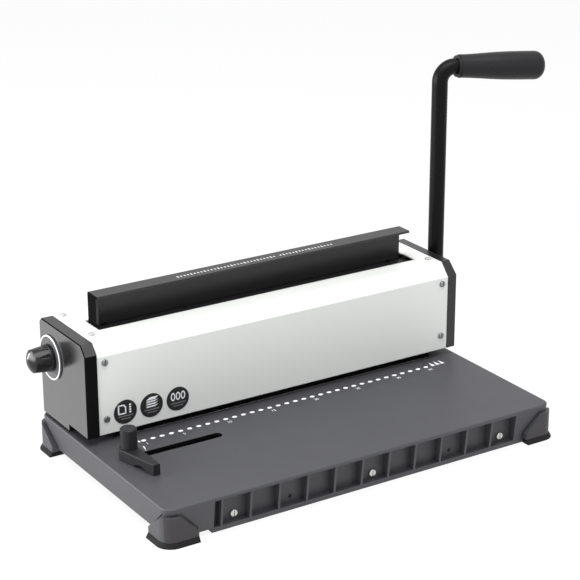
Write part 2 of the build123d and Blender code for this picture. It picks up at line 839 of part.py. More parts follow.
def pin_guide():
    """The bar above the paper slot that guides the pins, its lip eased for the sheets."""
    guide = profile_x([(tool_front, pin_guide_bottom + guide_chamfer), (tool_front + guide_chamfer, pin_guide_bottom),
                       (tool_back, pin_guide_bottom), (tool_back, pin_guide_top), (tool_front, pin_guide_top)],
                      tool_left, tool_right)
    guide -= square_bars(hole_size + 2 * sliding_gap, pin_guide_bottom - overrun, pin_guide_top + overrun)
    return guide - bolt_bars(pin_guide_bottom - overrun, pin_guide_top + overrun)


def tool_bolts():
    bolt = screw(cap_head_radius, cap_head_height, cap_shank_radius, pin_guide_top - chassis_bottom)
    return [Pos(x, y, pin_guide_top) * bolt for x, y in tool_bolt_places]


pin_plate_left = hole_places[0] - hole_size / 2 - pin_plate_end_margin
pin_plate_right = hole_places[-1] + hole_size / 2 + pin_plate_end_margin
beam_screw_places = [(pin_plate_left + beam_screw_inset, punch_y), (pin_plate_right - beam_screw_inset, punch_y),
                     (arm_left + arm_width / 2, punch_y),
                     (2 * housing_middle - arm_left - arm_width / 2, punch_y)]


def beam_screw_bars(z0, z1):
    return [bar_z(cap_shank_radius, x, y, z0, z1) for x, y in beam_screw_places]


def punch_beam():
    """The bar across the machine that presses all the pins at once."""
    beam = block(arm_left, 2 * housing_middle - arm_left, punch_y - beam_half_depth, punch_y + beam_half_depth,
                 follower_z, follower_z + beam_height)
    return beam - beam_screw_bars(follower_z - overrun, follower_z + beam_height + overrun)


def pin_plate():
    """The plate that holds the pins by their heads under the beam."""
    bottom = follower_z - pin_plate_thickness
    plate = block(pin_plate_left, pin_plate_right, punch_y - beam_half_depth, punch_y + beam_half_depth,
                  bottom, follower_z)
    plate -= square_bars(hole_size, bottom - overrun, follower_z)
    plate -= square_bars(pin_head_size, follower_z - pin_head_height, follower_z + overrun)
    return plate - beam_screw_bars(bottom - overrun, follower_z + overrun)


def punch_pins():
    """The square pins with their heads."""
    tip = pin_guide_bottom + pin_retract
    shanks = square_bars(hole_size, tip, follower_z - pin_head_height)
    heads = square_bars(pin_head_size, follower_z - pin_head_height, follower_z)
    return [shank + head for shank, head in zip(shanks, heads)]


def punch_arm():
    """The left arm that a cam pushes down, with its eye on the guide rod."""
    arm = block(arm_left, arm_left + arm_width, punch_y - beam_half_depth, shaft_y + arm_back_reach,
                arm_bottom, follower_z)
    arm += block(arm_left, rod_x + eye_half, rod_y - eye_half, rod_y + eye_half, arm_bottom, follower_z)
    arm -= bar_z(rod_radius + running_gap, rod_x, rod_y, arm_bottom - overrun, follower_z + overrun)
    return arm - beam_screw_bars(arm_bottom + pin_plate_thickness, follower_z + overrun)


def punch_screws():
    bolt = screw(cap_head_radius, cap_head_height, cap_shank_radius, beam_screw_length)
    return [Pos(x, y, follower_z + beam_height) * bolt for x, y in beam_screw_places]


# Guide rods and springs

rod_collar_z = tray_top + rod_collar_lift
rod_places = [(rod_x, rod_y), (2 * housing_middle - rod_x, rod_y)]


def guide_rods():
    """Two rods from the chassis plate to the anvil, each with a collar for the upper spring."""
    rods = []
    for x, y in rod_places:
        rod = bar_z(rod_radius, x, y, chassis_top, anvil_z - anvil_sheet)
        rod += bar_z(rod_collar_radius, x, y, rod_collar_z, rod_collar_z + rod_collar_height)
        rod += bar_z(rod_spigot_radius, x, y, chassis_bottom, chassis_top)
        rod += bar_z(rod_spigot_radius, x, y, anvil_z - anvil_sheet, anvil_z)
        rods.append(rod)
    return rods


def spring_sleeves(z0, z1):
    """Springs round both rods, closed coil on coil."""
    outer = spring_mean_radius + spring_wire / 2
    inner = spring_mean_radius - spring_wire / 2
    return [bar_z(outer, x, y, z0, z1) - bar_z(inner, x, y, z0 - overrun, z1 + overrun) for x, y in rod_places]


# Drive shaft and what it carries

def drive_shaft():
    end = right_outer + lever_hub_gap + lever_hub_width
    return bar_x(shaft_radius, shaft_left, end, shaft_y, shaft_z)


collar_right = cover_left - bush_flange_thickness - sliding_gap
shaft_left = collar_right - collar_width
pinion_left = (rack_left + rack_right - pinion_width) / 2
gear_module = 2 * rack_pitch_radius / gear_teeth
tooth_pitch = math.pi * gear_module
rack_root = gear_module * (1 + root_clearance_share)


def shaft_collar():
    collar = bar_x(collar_radius, shaft_left, collar_right, shaft_y, shaft_z)
    return collar - bar_x(shaft_radius, shaft_left - overrun, collar_right + overrun, shaft_y, shaft_z)


def gear_outline():
    """Involute teeth about the shaft, one of them pointing straight to the front."""
    angle = math.radians(pressure_angle)
    base_radius = rack_pitch_radius * math.cos(angle)
    half_tooth = math.pi / (2 * gear_teeth) - backlash / (4 * rack_pitch_radius)
    spread = half_tooth + math.tan(angle) - angle
    flank = [(rack_pitch_radius - rack_root, spread)]
    for share in curve_point_shares:
        radius = base_radius + share * (rack_pitch_radius + gear_module - base_radius)
        roll = math.acos(base_radius / radius)
        flank.append((radius, spread - math.tan(roll) + roll))
    points = []
    for k in range(gear_teeth):
        middle = math.pi + 2 * math.pi * k / gear_teeth
        sides = [(radius, middle - half) for radius, half in flank]
        sides += [(radius, middle + half) for radius, half in reversed(flank)]
        points += [(shaft_y + radius * math.cos(turn), shaft_z + radius * math.sin(turn))
                   for radius, turn in sides]
    return points


def pinion():
    """The left pinion with its hub, on the shaft."""
    gear = profile_x(gear_outline(), pinion_left, pinion_left + pinion_width)
    hub_end = pinion_left + pinion_width + pinion_hub_width
    gear += bar_x(pinion_hub_radius, pinion_left + pinion_width, hub_end, shaft_y, shaft_z)
    return gear - bar_x(shaft_radius, pinion_left - overrun, hub_end + overrun, shaft_y, shaft_z)


def cam_point(turn):
    """A point of the cam flank that lifts the follower in step with the lever."""
    direction = -math.pi / 2 - turn
    u, v = math.cos(direction), math.sin(direction)
    lift = cam_rest_lift + cam_base_radius * turn
    return (shaft_y + u * lift + cam_base_radius * v, shaft_z + v * lift - cam_base_radius * u)


def punch_cam():
    """The left cam: a disc with an involute nose that presses the punch arm down."""
    start = -math.radians(cam_lead_angle)
    step = (lever_angle + math.radians(cam_over_angle) - start) / cam_point_count
    flank = [cam_point(start + step * k) for k in range(cam_point_count + 1)]
    nose = make_face(Polyline(*flank, (shaft_y, shaft_z), close=True))
    cam = extrude(Plane.YZ.offset(arm_left) * nose, amount=cam_width, dir=(1, 0, 0))
    cam += bar_x(cam_disc_share * cam_rest_lift, arm_left, arm_left + cam_width, shaft_y, shaft_z)
    return cam - bar_x(shaft_radius, arm_left - overrun, arm_left + cam_width + overrun, shaft_y, shaft_z)


def stop_finger():
    """The arm on the shaft that meets the stop cam at the end of the stroke."""
    x0 = frame_left_inner + finger_inset
    x1 = x0 + finger_width
    arm = block(x0, x1, 0, finger_length, -finger_half_height, finger_half_height)
    arm = Pos(0, shaft_y, shaft_z) * Rot(finger_rest_angle, 0, 0) * arm
    finger = bar_x(finger_hub_radius, x0, x1, shaft_y, shaft_z) + arm
    return finger - bar_x(shaft_radius, x0 - overrun, x1 + overrun, shaft_y, shaft_z)


hub_left = right_outer + lever_hub_gap
hub_right = hub_left + lever_hub_width
neck_left = cover_right + bush_flange_thickness + sliding_gap
rod_foot_z = shaft_z + shaft_radius + lever_rod_seat


def lever_hub():
    """The hub on the end of the shaft, with a neck through the cover and a seat for the lever rod."""
    hub = bar_x(lever_hub_radius, hub_left, hub_right, shaft_y, shaft_z)
    outer_edges = hub.edges().filter_by(GeomType.CIRCLE)
    hub = chamfer(outer_edges, overrun)
    hub += bar_x(lever_neck_radius, neck_left, hub_left, shaft_y, shaft_z)
    hub -= bar_x(shaft_radius, neck_left - overrun, hub_right + overrun, shaft_y, shaft_z)
    hub -= bar_z(lever_rod_radius, lever_x, shaft_y, rod_foot_z, shaft_z + 2 * lever_hub_radius)
    return hub - set_screw_bar(shaft_y - lever_hub_radius - overrun)


def set_screw_bar(front):
    """The bore of the set screw, in from the front of the hub to the shaft."""
    return bar_y(set_screw_radius, front, shaft_y - shaft_radius, lever_x, shaft_z)


def hub_set_screw():
    end = shaft_y - shaft_radius
    body = bar_y(set_screw_radius, end - set_screw_length, end, lever_x, shaft_z)
    slot = block(lever_x - set_screw_radius, lever_x + set_screw_radius, end - set_screw_length,
                 end - set_screw_length + drive_slot_depth, shaft_z - drive_slot_width / 2,
                 shaft_z + drive_slot_width / 2)
    return body - slot


grip_heading = (math.cos(math.radians(grip_turn)) * math.cos(math.radians(grip_droop)),
                -math.sin(math.radians(grip_turn)) * math.cos(math.radians(grip_droop)),
                -math.sin(math.radians(grip_droop)))
lever_corner = Vector(lever_x, shaft_y, tray_top + lever_corner_height)
grip_plane = Plane(origin=lever_corner + Vector(*grip_heading) * grip_start, z_dir=grip_heading)


def lever_arm():
    """The bent round rod of the lever, from the hub to inside the grip."""
    heading = Vector(*grip_heading)
    up = Vector(0, 0, 1)
    bend = math.acos(heading.dot(up))
    reach = lever_bend_radius * math.tan(bend / 2)
    inward = (heading - up).normalized()
    centre = lever_corner + inward * (lever_bend_radius / math.cos(bend / 2))
    middle = centre - inward * lever_bend_radius
    foot = Vector(lever_x, shaft_y, rod_foot_z)
    start = lever_corner - up * reach
    end = lever_corner + heading * reach
    tip = lever_corner + heading * (grip_start + grip_length - grip_wall_end)
    path = Wire([Edge.make_line(foot, start), Edge.make_three_point_arc(start, middle, end),
                 Edge.make_line(end, tip)])
    return sweep(Plane(origin=foot, z_dir=up) * Circle(lever_rod_radius), path=path)


def lever_grip():
    """The swelling grip pushed over the rod, with a collar at its open end."""
    waist = grip_collar_length
    round_start = grip_length - grip_round
    tip_radius = grip_full_radius - grip_round
    swell = Spline((grip_neck_radius, waist), (grip_full_radius - grip_swell_drop, grip_swell_share * grip_length),
                   (grip_full_radius, round_start), tangents=((0, 1), (0, 1)))
    outline = [Line((0, 0), (grip_collar_radius, 0)), Line((grip_collar_radius, 0), (grip_collar_radius, waist)),
               Line((grip_collar_radius, waist), (grip_neck_radius, waist)), swell,
               RadiusArc((grip_full_radius, round_start), (tip_radius, grip_length), -grip_round),
               Line((tip_radius, grip_length), (0, grip_length)), Line((0, grip_length), (0, 0))]
    face = make_face(Plane.XZ * Wire(outline))
    grip = revolve(face, Axis.Z)
    grip -= bar_z(lever_rod_radius, 0, 0, -overrun, grip_length - grip_wall_end)
    return grip_plane.location * grip


# Wire closer

def closer_anvil():
    """The fixed shelf inside the window that the wire loops rest on."""
    left = frame_left_inner
    right = frame_right_inner
    front = housing_front + anvil_front
    back = housing_front + anvil_back
    shelf = block(left, right, front, back, anvil_z - anvil_sheet, anvil_z)
    for x in (left, right - anvil_tab_sheet):
        shelf += block(x, x + anvil_tab_sheet, front, back, anvil_z - anvil_tab_drop, anvil_z)
    shelf -= block(closer_left - body_gap, closer_left + closer_sheet + body_gap, web_back - closer_depth - body_gap,
                   back + overrun, anvil_z - anvil_tab_drop, anvil_z + overrun)
    shelf -= [bar_z(rod_spigot_radius, x, y, anvil_z - anvil_tab_drop, anvil_z + overrun) for x, y in rod_places]
    shelf -= [bar_x(small_shank_radius, cover_left, cover_right, y, z) for y, z in anvil_screw_places]
    return shelf


def anvil_screws():
    left = screws_at(long_screw, [(cover_left, y, z) for y, z in anvil_screw_places], (-1, 0, 0))
    right = screws_at(long_screw, [(cover_right, y, z) for y, z in anvil_screw_places], (1, 0, 0))
    return left + right


closer_top_z = tray_top + closer_top
neck_z = tray_top + neck_top
neck_back = web_back + neck_depth
closer_screw_z = (slide_z + neck_z) / 2


def closer_bar():
    """The angle that presses the loops closed: an upright web, a flange to the front and one end plate."""
    flange_front = web_back - closer_depth
    bar = block(closer_left, closer_right, web_front, web_back, slide_z, closer_top_z)
    bar += block(closer_left, closer_right, flange_front, web_back, closer_top_z - closer_sheet, closer_top_z)
    bar += block(closer_left, closer_left + closer_sheet, web_back - closer_end_plate_depth, web_back,
                 tray_top + closer_end_plate_lift, closer_top_z)
    bar = fillet(bar.edges().filter_by(Axis.X).sort_by(lambda e: e.center().Z + e.center().Y)[-1], closer_sheet)
    return bar - [bar_y(small_shank_radius + sliding_gap, web_front - overrun, web_back + overrun, x, closer_screw_z)
                  for x in closer_screw_x]


closer_screw_x = (rack_left + rack_width / 2, 2 * housing_middle - rack_left - rack_width / 2)


def rack_outline():
    """The toothed leg seen from the side."""
    back = rack_pitch_y - rack_root
    slope = math.tan(math.radians(pressure_angle))
    half = tooth_pitch / 4 - backlash / 4
    root_half = half + rack_root * slope
    tip_half = half - gear_module * slope
    tip_y = rack_pitch_y + gear_module
    points = [(rack_leg_front, tray_top + rack_leg_bottom), (back, tray_top + rack_leg_bottom)]
    for k in range(-rack_tooth_low_count, rack_tooth_high_count):
        z = shaft_z + (k + rack_phase_share) * tooth_pitch
        points += [(back, z - root_half), (tip_y, z - tip_half), (tip_y, z + tip_half), (back, z + root_half)]
    return points + [(back, slide_z), (rack_leg_front, slide_z)]


def closer_slide():
    """The left rack with its eye on the guide rod and the neck that carries the closer bar."""
    slide = profile_x(rack_outline(), rack_left, rack_right)
    slide += block(rack_left, rack_right, rack_leg_front, neck_back, slide_bar_bottom, slide_z)
    slide += block(rack_left, rack_right, web_back, neck_back, slide_bar_bottom, neck_z)
    slide += block(rod_x - eye_half, rack_right, rod_y - eye_half, rod_y + eye_half, slide_bar_bottom, slide_z)
    slide -= bar_z(rod_radius + running_gap, rod_x, rod_y, slide_bar_bottom - overrun, slide_z + overrun)
    return slide - bar_y(small_shank_radius, web_back - overrun, neck_back, rack_left + rack_width / 2, closer_screw_z)


def closer_screws():
    return screws_at(long_screw, [(x, web_front, closer_screw_z) for x in closer_screw_x], (0, -1, 0))


# Covers

def path_sheet(points, thickness, x0, x1):
    """A bent sheet that follows a path of (y, z) points, its outside on the path."""
    return profile_x(points + list(reversed(inset_path(points, thickness))), x0, x1)


def top_cover():
    """The bent sheet over the front and the top, with the window of the wire closer."""
    path = housing_path(tray_top + cover_lift)
    path[-1] = (housing_back, cover_top - cover_back_lip)
    left = cover_left + sliding_gap
    right = cover_right - sliding_gap
    cover = path_sheet(path, cover_sheet, left, right)
    bends = [e for e in cover.edges().filter_by(Axis.X)
             if any(abs(e.center().Y - y) + abs(e.center().Z - z) < sliding_gap for y, z in path[1:4])]
    cover = fillet(bends, cover_bend_radius)
    cover -= block(cover_left + window_left_inset, cover_right - window_right_inset, housing_front + window_front,
                   housing_front + window_back, cover_top - 2 * cover_sheet, cover_top + overrun)
    cover -= [bar_y(small_shank_radius + sliding_gap, y - overrun, y + 2 * overrun, x, z)
              for x, y, z in front_screw_points]
    cover -= [bar_z(small_shank_radius + sliding_gap, x, y, cover_top - 2 * overrun, cover_top + overrun)
              for x, y, z in top_screw_points]
    return cover


def rear_cover():
    """The flat panel that closes the back of the housing."""
    left = cover_left + sliding_gap
    right = cover_right - sliding_gap
    panel = block(left, right, housing_back - cover_sheet, housing_back, tray_top + rear_clear,
                  cover_top - cover_back_lip - sliding_gap)
    return panel - [bar_y(small_shank_radius + sliding_gap, y - 2 * overrun, y + overrun, x, z)
                    for x, y, z in rear_screw_points]


def side_outline(front, chamfer_depth, chamfer_height, back_chamfer):
    """The outline of a side cover as (y, z) points."""
    step_y = front + side_step_reach
    return [(front, tray_top + cover_lift), (front, housing_top - chamfer_height),
            (front + chamfer_depth, housing_top), (housing_back - back_chamfer, housing_top),
            (housing_back, housing_top - back_chamfer), (housing_back, tray_top + side_step_lift),
            (step_y, tray_top + side_step_lift), (step_y, tray_top + cover_lift)]


def side_shell(outline, outer, seat):
    """A hollow side cover from its outer face to the seat on the frame, with its screw posts."""
    plan = make_face(Polyline(*outline, close=True))
    thickness = seat - outer
    inward = math.copysign(1, thickness)
    shell = extrude(Plane.YZ.offset(outer) * plan, amount=abs(thickness), dir=(inward, 0, 0))
    rim = [e for e in shell.edges() if abs(e.center().X - outer) < sliding_gap]
    shell = fillet(rim, side_edge_radius)
    room = offset(plan, -side_wall_sheet, kind=Kind.INTERSECTION)
    shell -= extrude(Plane.YZ.offset(outer + inward * side_wall_sheet) * room, amount=abs(thickness),
                     dir=(inward, 0, 0))
    x0, x1 = sorted((outer + inward * side_wall_sheet / 2, seat))
    for y, z in post_places:
        shell += bar_x(post_radius, x0, x1, y, z)
    x0, x1 = sorted((outer + inward * side_wall_sheet, seat + inward * overrun))
    return shell - [bar_x(small_shank_radius, x0, x1, y, z) for y, z in post_places]


def left_side_cover():
    outline = side_outline(housing_front - left_cover_proud, left_chamfer_depth, left_chamfer_height,
                           left_back_chamfer)
    shell = side_shell(outline, left_outer, cover_left)
    return shell - bar_x(knob_shaft_radius + sliding_gap, left_outer - overrun, cover_left, knob_y, knob_z)


def right_side_cover():
    outline = side_outline(housing_front - right_cover_proud, right_chamfer_depth, right_chamfer_height,
                           right_back_chamfer)
    shell = side_shell(outline, right_outer, cover_right)
    return shell - bar_x(lever_neck_radius + body_gap, cover_right, right_outer + overrun, shaft_y, shaft_z)


def side_cover_screws():
    left = screws_at(long_screw, [(frame_left_inner, y, z) for y, z in post_places], (1, 0, 0))
    right = screws_at(long_screw, [(frame_right_inner, y, z) for y, z in post_places], (-1, 0, 0))
    return left + right


# Adjusting knob

knob_face = left_outer - dial_thickness - seat_gap
knob_end = knob_face - knob_length


def dial_plate():
    """The round scale plate behind the knob."""
    plate = bar_x(dial_radius, left_outer - dial_thickness, left_outer, knob_y, knob_z)
    return plate - bar_x(knob_shaft_radius + sliding_gap, left_outer - 2 * overrun, left_outer + overrun,
                         knob_y, knob_z)


def adjust_knob():
    """The fluted knob with a skirt, a taper and a domed face."""
    dome_radius = (knob_tip_radius ** 2 + knob_dome ** 2) / (2 * knob_dome)
    outline = Polyline((0, 0), (knob_skirt_radius, 0), (knob_skirt_radius, knob_skirt_length),
                       (knob_base_radius, knob_skirt_length), (knob_tip_radius, knob_length), (0, knob_length),
                       close=True)
    knob = revolve(make_face(Plane.XZ * outline), Axis.Z)
    knob &= Pos(0, 0, knob_length - dome_radius) * Sphere(dome_radius)
    flute = bar_z(flute_radius, knob_base_radius + flute_radius - flute_bite, 0,
                  knob_skirt_length + flute_bite, knob_length + overrun)
    knob -= [Rot(0, 0, 360 * k / knob_flutes) * flute for k in range(knob_flutes)]
    knob -= bar_z(knob_shaft_radius, 0, 0, -overrun, knob_socket_depth)
    return Plane(origin=(knob_face, knob_y, knob_z), z_dir=(-1, 0, 0)).location * knob


def knob_shaft():
    return bar_x(knob_shaft_radius, knob_face - knob_socket_depth,
                 frame_left_inner + finger_inset + finger_width, knob_y, knob_z)


def stop_cam():
    """The stepped snail that sets how far the stop finger may turn."""
    x0 = frame_left_inner + finger_inset
    x1 = x0 + finger_width
    rise = (stop_cam_large_radius - stop_cam_small_radius) / stop_cam_steps
    cam = bar_x(stop_cam_small_radius, x0, x1, knob_y, knob_z)
    for k in range(1, stop_cam_steps + 1):
        radius = stop_cam_small_radius + rise * k
        turn = math.radians(stop_cam_step_angle)
        sector = profile_x([(0, 0)] + [(radius * math.cos(turn * (k + share)), radius * math.sin(turn * (k + share)))
                                       for share in curve_point_shares], x0, x1)
        cam += Pos(0, knob_y, knob_z) * sector
    return cam - bar_x(knob_shaft_radius, x0 - overrun, x1 + overrun, knob_y, knob_z)


# Side guide

guide_bottom = tray_top + sliding_gap
guide_top = tray_top + guide_arm_height
guide_face_x = guide_x + guide_face_offset
guide_tip_y = guide_y - guide_arm_front


def side_guide():
    """The stop for the edge of the sheets, arched underneath, with a boss for its clamp."""
    arm = profile_z([(guide_face_x, guide_y), (guide_x - guide_boss_radius, guide_y),
                     (guide_face_x - guide_arm_tip_width, guide_tip_y), (guide_face_x, guide_tip_y)],
                    guide_bottom, guide_top)
    arm += bar_z(guide_boss_radius, guide_x, guide_y, guide_bottom, guide_top)
    arm -= block(guide_face_x, guide_face_x + guide_boss_radius, guide_tip_y - overrun,
                 guide_y + guide_boss_radius + overrun, tray_top, guide_top + overrun)
    tip = guide_tip_y + guide_arch_end
    root = guide_y - guide_boss_radius - guide_arch_end
    crown = guide_bottom + guide_arch_rise
    arch = make_face(Wire([*Line((tip, guide_bottom), (root, guide_bottom)).edges(),
                           *ThreePointArc((root, guide_bottom), ((tip + root) / 2, crown),
                                          (tip, guide_bottom)).edges()]))
    arm -= extrude(Plane.YZ.offset(guide_x - 2 * guide_boss_radius) * arch, amount=4 * guide_boss_radius,
                   dir=(1, 0, 0))
    top_edges = arm.edges().group_by(Axis.Z)[-1]
    arm = fillet(top_edges, guide_edge_radius)
    return arm - bar_z(stud_radius + running_gap, guide_x, guide_y, tray_top, guide_top + overrun)


def guide_nut():
    """The square nut under the tray, with a key that keeps it straight in the slot."""
    top = tray_under - sliding_gap
    nut = Pos(guide_x, guide_y) * block(-nut_size / 2, nut_size / 2, -nut_size / 2, nut_size / 2,
                                        top - nut_thickness, top)
    key_half = slot_width / 2 - sliding_gap
    key_plan = Pos(guide_x + nut_key_length / 2 - key_half, guide_y) * SlotOverall(nut_key_length, 2 * key_half)
    nut += extrude(Plane.XY.offset(top) * key_plan, amount=tray_plate + sliding_gap - nut_key_drop)
    return nut - bar_z(stud_radius + running_gap, guide_x, guide_y, 0, tray_top)


def guide_knob():
    """The round clamp knob of the side guide."""
    bottom = guide_top + sliding_gap
    knob = bar_z(guide_knob_radius, guide_x, guide_y, bottom, bottom + guide_knob_height)
    knob = chamfer(knob.edges().group_by(Axis.Z)[-1], guide_knob_edge)
    return knob - bar_z(stud_radius, guide_x, guide_y, bottom - overrun, bottom + guide_knob_height / 2)


def guide_stud():
    bottom = tray_under - sliding_gap - nut_thickness - stud_end_run
    return bar_z(stud_radius, guide_x, guide_y, bottom, guide_top + sliding_gap + guide_knob_height / 2)


# Chip tray

def chip_tray():
    """The drawer that catches the punched chips and pulls out to the right."""
    bottom = side_wall_clear + bottom_sheet + chip_lift
    front = chip_middle_y - chip_width / 2
    back = chip_middle_y + chip_width / 2
    inner_right = half_width - lean(bottom) - chip_wall
    right = inner_right + chip_wall + chip_front_plate
    tray = block(chip_left, right, front, back, bottom, bottom + chip_height)
    tray -= block(chip_left + chip_wall, inner_right, front + chip_wall, back - chip_wall, bottom + chip_wall, tray_top)
    tray += block(right, right + chip_lip, front, back, bottom, bottom + chip_lip_thickness)
    return tray


nodes = {
    "base_shell": base_shell(),
    "foot_pads": foot_pads(),
    "bottom_plate": bottom_plate(),
    "bottom_plate_screws": bottom_screws(),
    "front_screws": front_screws(),
    "chassis_plate": chassis_plate(),
    "chassis_screws": chassis_screws(),
    "left_frame_plate": left_frame(),
    "right_frame_plate": right_frame(),
    "tie_bars": tie_bars(),
    "tie_bar_screws": tie_screws(),
    "die_plate": die_plate(),
    "paper_stop": paper_stop(),
    "pin_guide": pin_guide(),
    "die_bolts": tool_bolts(),
    "closer_anvil": closer_anvil(),
    "anvil_screws": anvil_screws(),
    "guide_rods": guide_rods(),
    "shaft_bushes": shaft_bushes(),
    "top_cover": top_cover(),
    "rear_cover": rear_cover(),
    "left_side_cover": left_side_cover(),
    "right_side_cover": right_side_cover(),
    "front_cover_screws": screws_at(small_screw, front_screw_points, (0, -1, 0)),
    "top_cover_screws": screws_at(small_screw, [(x, y, cover_top) for x, y, z in top_screw_points], (0, 0, 1)),
    "rear_cover_screws": screws_at(small_screw, rear_screw_points, (0, 1, 0)),
    "side_cover_screws": side_cover_screws(),
    "dial_plate": dial_plate(),
    "punch_springs": spring_sleeves(chassis_top, arm_bottom),
    "closer_springs": spring_sleeves(rod_collar_z + rod_collar_height, slide_bar_bottom),
    "punch_beam": punch_beam(),
    "punch_arm_left": punch_arm(),
    "punch_arm_right": mirrored(punch_arm()),
    "pin_plate": pin_plate(),
    "punch_pins": punch_pins(),
    "punch_screws": punch_screws(),
    "closer_bar": closer_bar(),
    "closer_slide_left": closer_slide(),
    "closer_slide_right": mirrored(closer_slide()),
    "closer_screws": closer_screws(),
    "drive_shaft": drive_shaft(),
    "lever_hub": lever_hub(),
    "lever_arm": lever_arm(),
    "lever_grip": lever_grip(),
    "hub_set_screw": hub_set_screw(),
    "left_pinion": pinion(),
    "right_pinion": mirrored(pinion()),
    "left_cam": punch_cam(),
    "right_cam": mirrored(punch_cam()),
    "stop_finger": stop_finger(),
    "shaft_collar": shaft_collar(),
    "adjust_knob": adjust_knob(),
    "knob_shaft": knob_shaft(),
    "stop_cam": stop_cam(),
    "side_guide": side_guide(),
    "guide_nut": guide_nut(),
    "guide_knob": guide_knob(),
    "guide_stud": guide_stud(),
    "chip_tray": chip_tray(),
}


def gathered(piece):
    """All the solids of a node in one compound."""
    items = piece if isinstance(piece, list) else [piece]
    return Compound([solid for item in items for solid in item.solids()])


pieces = {name: gathered(piece) for name, piece in nodes.items()}
outline = Compound([solid for piece in pieces.values() for solid in piece.solids()]).bounding_box()
to_origin = Pos(-(outline.min.X + outline.max.X) / 2, -(outline.min.Y + outline.max.Y) / 2, -outline.min.Z)
print("moved by", to_origin.position)
print("size", outline.size)

os.makedirs("parts", exist_ok=True)
for name, piece in pieces.items():
    export_step(to_origin * piece, f"parts/{name}.step")
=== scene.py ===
# %% [markdown]
# # A desk machine that punches holes and closes wire loops
#
# The machine has a moulded tray base, a housing of bent and painted sheet between two black end
# covers, a bent lever, a knob, a side guide and the dark bar that closes the wire loops. Its solids
# come from the CAD frame, at their real size. This lesson gives every one of them its finish, adds
# what is printed on the machine, and sets up the light and the camera of a plain product photograph.

# %% Load the frame
import json
import math
import bmesh
import bpy
from mathutils import Matrix, Vector


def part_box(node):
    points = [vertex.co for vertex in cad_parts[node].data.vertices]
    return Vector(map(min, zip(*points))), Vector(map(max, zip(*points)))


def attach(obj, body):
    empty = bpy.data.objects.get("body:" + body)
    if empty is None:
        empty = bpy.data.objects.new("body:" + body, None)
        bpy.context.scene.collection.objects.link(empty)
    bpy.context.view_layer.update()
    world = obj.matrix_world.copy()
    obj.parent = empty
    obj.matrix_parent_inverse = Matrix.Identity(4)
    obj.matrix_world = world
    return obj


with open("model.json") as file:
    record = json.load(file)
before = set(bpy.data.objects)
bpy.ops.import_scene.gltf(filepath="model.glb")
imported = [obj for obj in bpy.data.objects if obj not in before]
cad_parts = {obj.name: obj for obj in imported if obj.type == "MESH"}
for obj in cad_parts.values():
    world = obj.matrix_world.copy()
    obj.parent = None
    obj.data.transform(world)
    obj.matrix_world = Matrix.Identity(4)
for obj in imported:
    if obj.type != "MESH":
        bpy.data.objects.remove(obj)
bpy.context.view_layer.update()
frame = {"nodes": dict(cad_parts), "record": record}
nodes = frame["nodes"]
scene = bpy.context.scene
MM = 0.001

# %% [markdown]
# ## Places to measure from
#
# Printed marks have to sit on what carries them. They could be typed in as bare positions, but then
# a change of the CAD model would leave them in the air. So each place is measured from the box of
# the node that it is printed on: the base for the tray, the top cover for the front face. The row of
# dots is centred on the punch pins, which stand at three to the inch.

# %% Measure the base and the housing
base_low, base_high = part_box("base_shell")
cover_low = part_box("top_cover")[0]
pins_low, pins_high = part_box("punch_pins")
middle_x = (base_low[0] + base_high[0]) / 2
middle_y = (base_low[1] + base_high[1]) / 2
tray_z = base_high[2]
front_y = cover_low[1]
inch = 25.4
hole_pitch = inch / 3 * MM
hole_count = 34
first_hole_x = (pins_low[0] + pins_high[0]) / 2 - hole_pitch * (hole_count - 1) / 2
print("base middle", round(middle_x, 4), round(middle_y, 4), "tray top", round(tray_z, 4))
print("front face", round(front_y, 4), "first hole", round(first_hole_x, 4))


def from_base(x, y, z):
    """A point given in millimetres from the middle of the base, on the table, in the row frame."""
    return Vector((middle_x + x * MM, middle_y + y * MM, z * MM))


# %% [markdown]
# ## The camera
#
# The photograph is taken from the left and from above, with a long lens, so lines that run away
# converge only a little. A camera can be aimed by eye with a Track To constraint, but then its tilt
# and roll can't be set one by one. Here its axes are worked out from an azimuth, an elevation and a
# small roll, and its place and focal length are the ones that put the row of holes where it is seen.

# %% Place the camera
azimuth, elevation, roll = math.radians(-32.432), math.radians(20.383), math.radians(-0.151)
camera_place = (-766.97, -1196.58, 662.79)
film_width = 36.0
focal_pixels, picture_pixels = 1868.58, 580
towards_camera = Vector((math.sin(azimuth) * math.cos(elevation),
                         -math.cos(azimuth) * math.cos(elevation), math.sin(elevation)))
level_right = Vector((0, 0, 1)).cross(towards_camera).normalized()
level_up = towards_camera.cross(level_right)
camera_right = math.cos(roll) * level_right + math.sin(roll) * level_up
camera_up = -math.sin(roll) * level_right + math.cos(roll) * level_up
camera_data = bpy.data.cameras.new("photo_camera")
camera_data.sensor_width = film_width
camera_data.lens = film_width * focal_pixels / picture_pixels
camera_data.clip_start = 0.05
camera_data.clip_end = 50
camera = bpy.data.objects.new("photo_camera", camera_data)
camera_axes = Matrix((camera_right, camera_up, towards_camera)).transposed().to_4x4()
camera.matrix_world = Matrix.Translation(from_base(*camera_place)) @ camera_axes
scene.collection.objects.link(camera)
scene.camera = camera
print("camera at", [round(v, 3) for v in camera.location], "lens", round(camera_data.lens, 1))

# %% [markdown]
# ## Background and light
#
# A product photograph is lit by big soft boxes in front of white paper. The paper could be a curved
# backdrop, but the picture shows one even white, so a flat floor runs far out and the world behind it
# is as white. The camera sees the floor almost as bright as the world, with the shadow of the feet
# left in. The lamps stay at a plain level: one broad box above, one at the left that puts the soft
# grey gloss on the end cover and the left wall, and a weak one in front.


# %% Helpers that wire nodes
def feed(tree, socket, value):
    """Puts a number, or another node's output, into a socket."""
    if isinstance(value, (int, float)):
        socket.default_value = value
    else:
        tree.links.new(value, socket)


